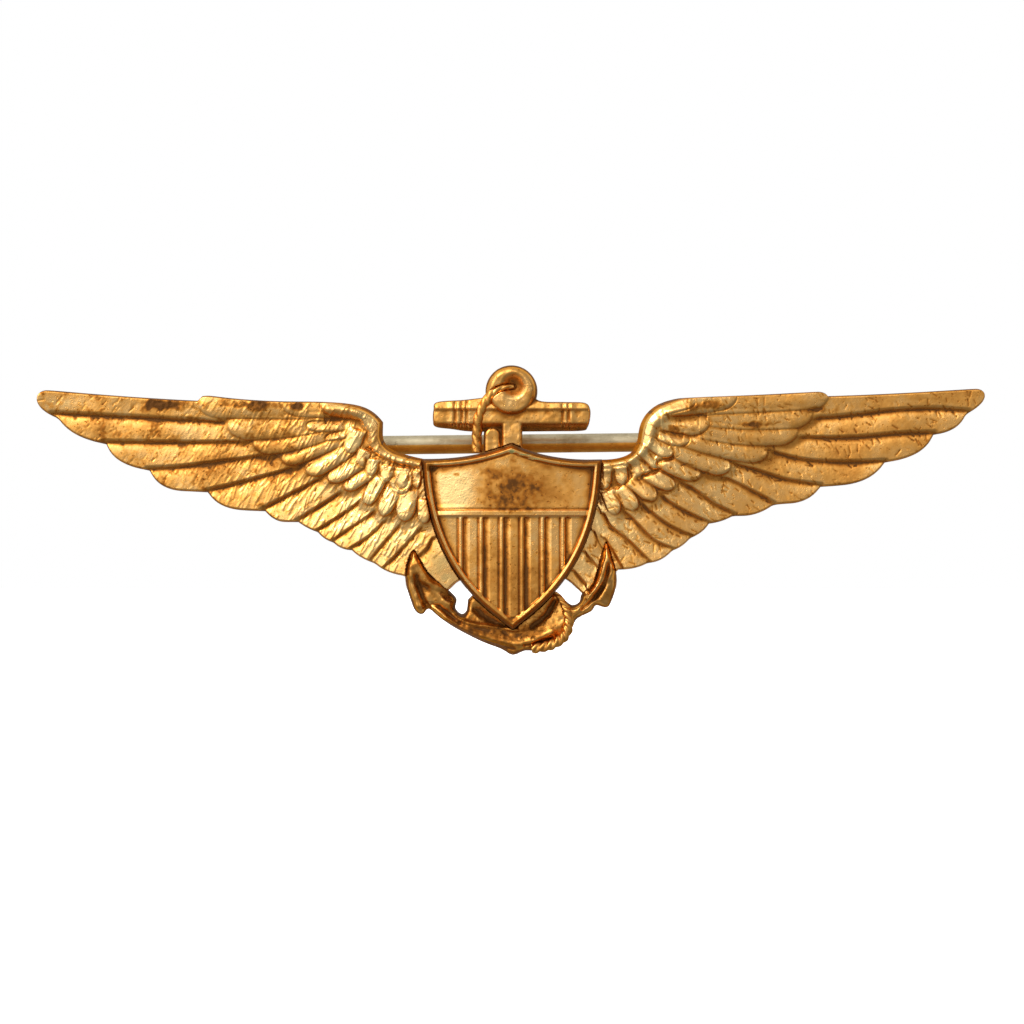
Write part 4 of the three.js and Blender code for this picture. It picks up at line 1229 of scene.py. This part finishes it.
def nickel(name, painted_gold_below=False):
    """Worn nickel plate with small pits. The stem's copy has a painted reflection: its underside is
    brass-gold, standing in for the gilt badge it would reflect.
    """
    material, tree, shader, where = new_material(name)
    stretched = add_node(tree, "ShaderNodeMapping", {"Vector": where, "Scale": (0.15, 1, 1)})
    drawn_lines = noise_node(tree, stretched.outputs["Vector"], 0.12 * MM, 4, 0.6)
    cloud = noise_node(tree, where, 1.2 * MM, 4, 0.65)
    pits = noise_node(tree, where, 0.35 * MM, 2, 0.5)
    colour = ramp(tree, maths(tree, "ADD", maths(tree, "MULTIPLY", cloud, 0.7),
                              maths(tree, "MULTIPLY", drawn_lines, 0.3)), [
        (0.3, (0.62, 0.54, 0.37)), (0.5, (0.54, 0.46, 0.30)), (0.75, (0.34, 0.27, 0.16)),
    ])
    # Painted reflection: below the stem's axis the colour turns brass-gold.
    if painted_gold_below:
        height = add_node(tree, "ShaderNodeSeparateXYZ", {"Vector": where})
        climb = maths(tree, "MULTIPLY", height.outputs["X"], math.tan(STEM_RISE))
        above = maths(tree, "SUBTRACT", height.outputs["Z"], climb)
        # This brass colour is a painted reflection of the gilt badge below the stem.
        brass = ramp(tree, cloud, [(0.3, (0.85, 0.44, 0.07)), (0.7, (0.60, 0.27, 0.04))])
        share = ranged(tree, above, (STEM_HEIGHT - 0.06) * MM, (STEM_HEIGHT + 0.02) * MM)
        colour = mixed(tree, share, brass, colour)
    tree.links.new(colour, shader.inputs["Base Color"])
    shader.inputs["Metallic"].default_value = 1.0
    tree.links.new(ranged(tree, cloud, 0.3, 0.7, 0.5, 0.62), shader.inputs["Roughness"])
    bump(tree, shader, [
        (ranged(tree, pits, 0.62, 0.72, 1.0, 0.0), 0.02 * MM), (drawn_lines, 0.006 * MM),
    ])
    return material


# ---------------------------------------------------------------- the pieces

left_wing = relief("left_wing_relief", polygon_outline(LEFT_OUTLINE), wing_height(
    -1, LEFT_OUTLINE, LEFT_LEAVES, LEFT_GROOVES, LEFT_RIDGE, LEFT_HOLLOW, LEFT_RIDGE_FOOT,
    left_stain_and_painted_light), {"stain_and_painted_light": left_stain_and_painted_light, "verdigris": left_green})
right_wing = relief("right_wing_relief", polygon_outline(RIGHT_OUTLINE), wing_height(
    1, RIGHT_OUTLINE, RIGHT_LEAVES, RIGHT_GROOVES, RIGHT_RIDGE, RIGHT_HOLLOW, RIGHT_RIDGE_FOOT,
    right_stain_and_painted_light), {"stain_and_painted_light": right_stain_and_painted_light})
shield = relief("shield_relief", polygon_outline(SHIELD_OUTLINE), shield_height,
                {"stain_and_painted_light": shield_stain_and_painted_light, "verdigris": shield_green},
                back=SEAT + SOLDER_GAP, cell=SHIELD_CELL)
anchor = relief("anchor_relief", (anchor_distance, ANCHOR_BOX), anchor_height,
                {"stain_and_painted_light": anchor_stain}, back=anchor_back)
upper_rope = rope("anchor_rope_upper_strands", (UPPER_ROPE - UPPER_ROPE_SINK) * DEPTH_TO_Y,
                  pitch=2.2 * MM, relief_depth=0.20, start=0.45)
lower_rope = rope("anchor_rope_lower_strands", LOWER_ROPE * DEPTH_TO_Y,
                  pitch=1.7 * MM, relief_depth=0.34, start=0.5)

at_hinge, at_catch = mechanism_place(HINGE_X), mechanism_place(CATCH_X)
hinge_pad = soldered_pad("hinge_pad_plate", 2.4, 2.6, at_hinge)
catch_pad = soldered_pad("catch_pad_plate", 2.6, 2.4, at_catch)
bracket = hinge_bracket(at_hinge)
rivet = hinge_rivet(at_hinge)
stem = pin_stem(at_hinge)
housing = catch_housing(at_catch)
roller = catch_roller(at_catch)

GILT, BRASS = gilt_metal(), fitting_brass()
# The stem's nickel carries a painted reflection of the gilt badge on its lower half.
NICKEL, STEM_NICKEL = nickel("nickel"), nickel("nickel_stem", painted_gold_below=True)

for piece, node, body, slot, material in [
    (left_wing, "left_wing", "badge", "gilt_metal", GILT),
    (right_wing, "right_wing", "badge", "gilt_metal", GILT),
    (shield, "shield", "badge", "gilt_metal", GILT),
    (anchor, "anchor", "badge", "gilt_metal", GILT),
    (upper_rope, "anchor_rope_upper", "badge", "gilt_metal", GILT),
    (lower_rope, "anchor_rope_lower", "badge", "gilt_metal", GILT),
    (hinge_pad, "hinge_pad", "badge", "fitting_brass", BRASS),
    (bracket, "hinge_bracket", "badge", "fitting_brass", BRASS),
    (rivet, "hinge_rivet", "badge", "nickel", NICKEL),
    (stem, "pin_stem", "stem", "nickel", STEM_NICKEL),
    (catch_pad, "catch_pad", "badge", "fitting_brass", BRASS),
    (housing, "catch_housing", "badge", "fitting_brass", BRASS),
    (roller, "catch_roller", "roller", "nickel", NICKEL),
]:
    piece.data.materials.clear()
    piece.data.materials.append(material)
    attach(piece, body)
    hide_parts(node)


# ---------------------------------------------------------------- stage, lights and camera

KEY_DIRECTION = Vector((-0.52, -0.58, 0.63)).normalized()
KEY_DISTANCE, KEY_SIZE, KEY_POWER = 0.45, 0.13, 0.5
FILL_PLACE, FILL_SIZE, FILL_POWER = (0.30, -0.26, 0.14), 0.12, 0.04
# The glow's brightness by direction, from 0, away from the key light, to 1, towards it.
GLOW = [(0.0, 0.08), (0.45, 0.13), (0.68, 0.22), (0.76, 0.26), (0.835, 0.26), (0.865, 0.42),
        (0.94, 0.90)]
FLOOR_HEIGHT, FLOOR_SIZE = -0.06, 4
PHOTO_WIDTH = 75.45 * MM    # what the photograph's frame spans at the badge
PHOTO_CENTRE = Vector((0.04, -1.0, -0.15)) * MM


def studio_world():
    """A soft studio: a broad glow from the upper left in front, and a paler one from behind."""
    world = bpy.data.worlds.new("studio")
    world.use_nodes = True
    tree = world.node_tree
    backdrop = tree.nodes["Background"]
    direction = add_node(tree, "ShaderNodeTexCoord").outputs["Generated"]
    towards_key = add_node(tree, "ShaderNodeVectorMath", {0: direction, 1: KEY_DIRECTION},
                           operation="DOT_PRODUCT").outputs["Value"]
    glow = ramp(tree, ranged(tree, towards_key, -1.0, 1.0),
                [(position, (brightness,) * 3) for position, brightness in GLOW])
    apart = add_node(tree, "ShaderNodeSeparateXYZ", {"Vector": direction}).outputs
    strength = ranged(tree, apart["Y"], -0.1, 0.5, 2.1, 1.0)
    behind = maths(tree, "MULTIPLY", ranged(tree, apart["Y"], 0.0, 0.5),
                   ranged(tree, apart["Z"], -0.7, 0.8, 0.3, 0.75))
    lit = add_node(tree, "ShaderNodeVectorMath", {0: glow, "Scale": strength},
                   operation="SCALE").outputs[0]
    reflected = add_node(tree, "ShaderNodeVectorMath", {0: lit, 1: behind},
                         operation="ADD").outputs[0]
    seen = add_node(tree, "ShaderNodeLightPath").outputs["Is Camera Ray"]
    tree.links.new(mixed(tree, seen, reflected, (1, 1, 1, 1)), backdrop.inputs["Color"])
    bpy.context.scene.world = world


def softbox(name, place, size, power):
    """A round light aimed at the badge's middle."""
    data = bpy.data.lights.new(name, "AREA")
    data.shape = "DISK"
    data.size = size
    data.energy = power
    light = add_object(name, data)
    light.location = place
    light.rotation_euler = (-Vector(place)).to_track_quat("-Z", "Y").to_euler()


def pale_floor(height, size):
    half = size / 2
    mesh = bpy.data.meshes.new("floor")
    mesh.from_pydata([(-half, -half, height), (half, -half, height), (half, half, height),
                      (-half, half, height)], [], [(0, 1, 2, 3)])
    material, tree, shader, _ = new_material("floor")
    shader.inputs["Base Color"].default_value = (0.95, 0.95, 0.95, 1)
    shader.inputs["Roughness"].default_value = 0.9
    shader.inputs["Emission Color"].default_value = (1, 1, 1, 1)
    shader.inputs["Emission Strength"].default_value = 0.9
    mesh.materials.append(material)
    floor = add_object("floor", mesh)
    floor.visible_glossy = False


def photo_camera(frame_width, centre, lens=100, sensor=36):
    """A camera square on to the face, far enough away to see just the frame's width."""
    data = bpy.data.cameras.new("camera")
    data.lens = lens
    data.sensor_width = sensor
    data.clip_start, data.clip_end = 0.01, 10
    camera = add_object("camera", data)
    camera.location = centre + Vector((0, -frame_width * lens / sensor, 0))
    camera.rotation_euler = (math.pi / 2, 0, 0)
    bpy.context.scene.camera = camera


studio_world()
softbox("key", KEY_DIRECTION * KEY_DISTANCE, KEY_SIZE, KEY_POWER)
softbox("fill", FILL_PLACE, FILL_SIZE, FILL_POWER)
pale_floor(FLOOR_HEIGHT, FLOOR_SIZE)
photo_camera(PHOTO_WIDTH, PHOTO_CENTRE)
bpy.context.scene.view_settings.view_transform = "Standard"
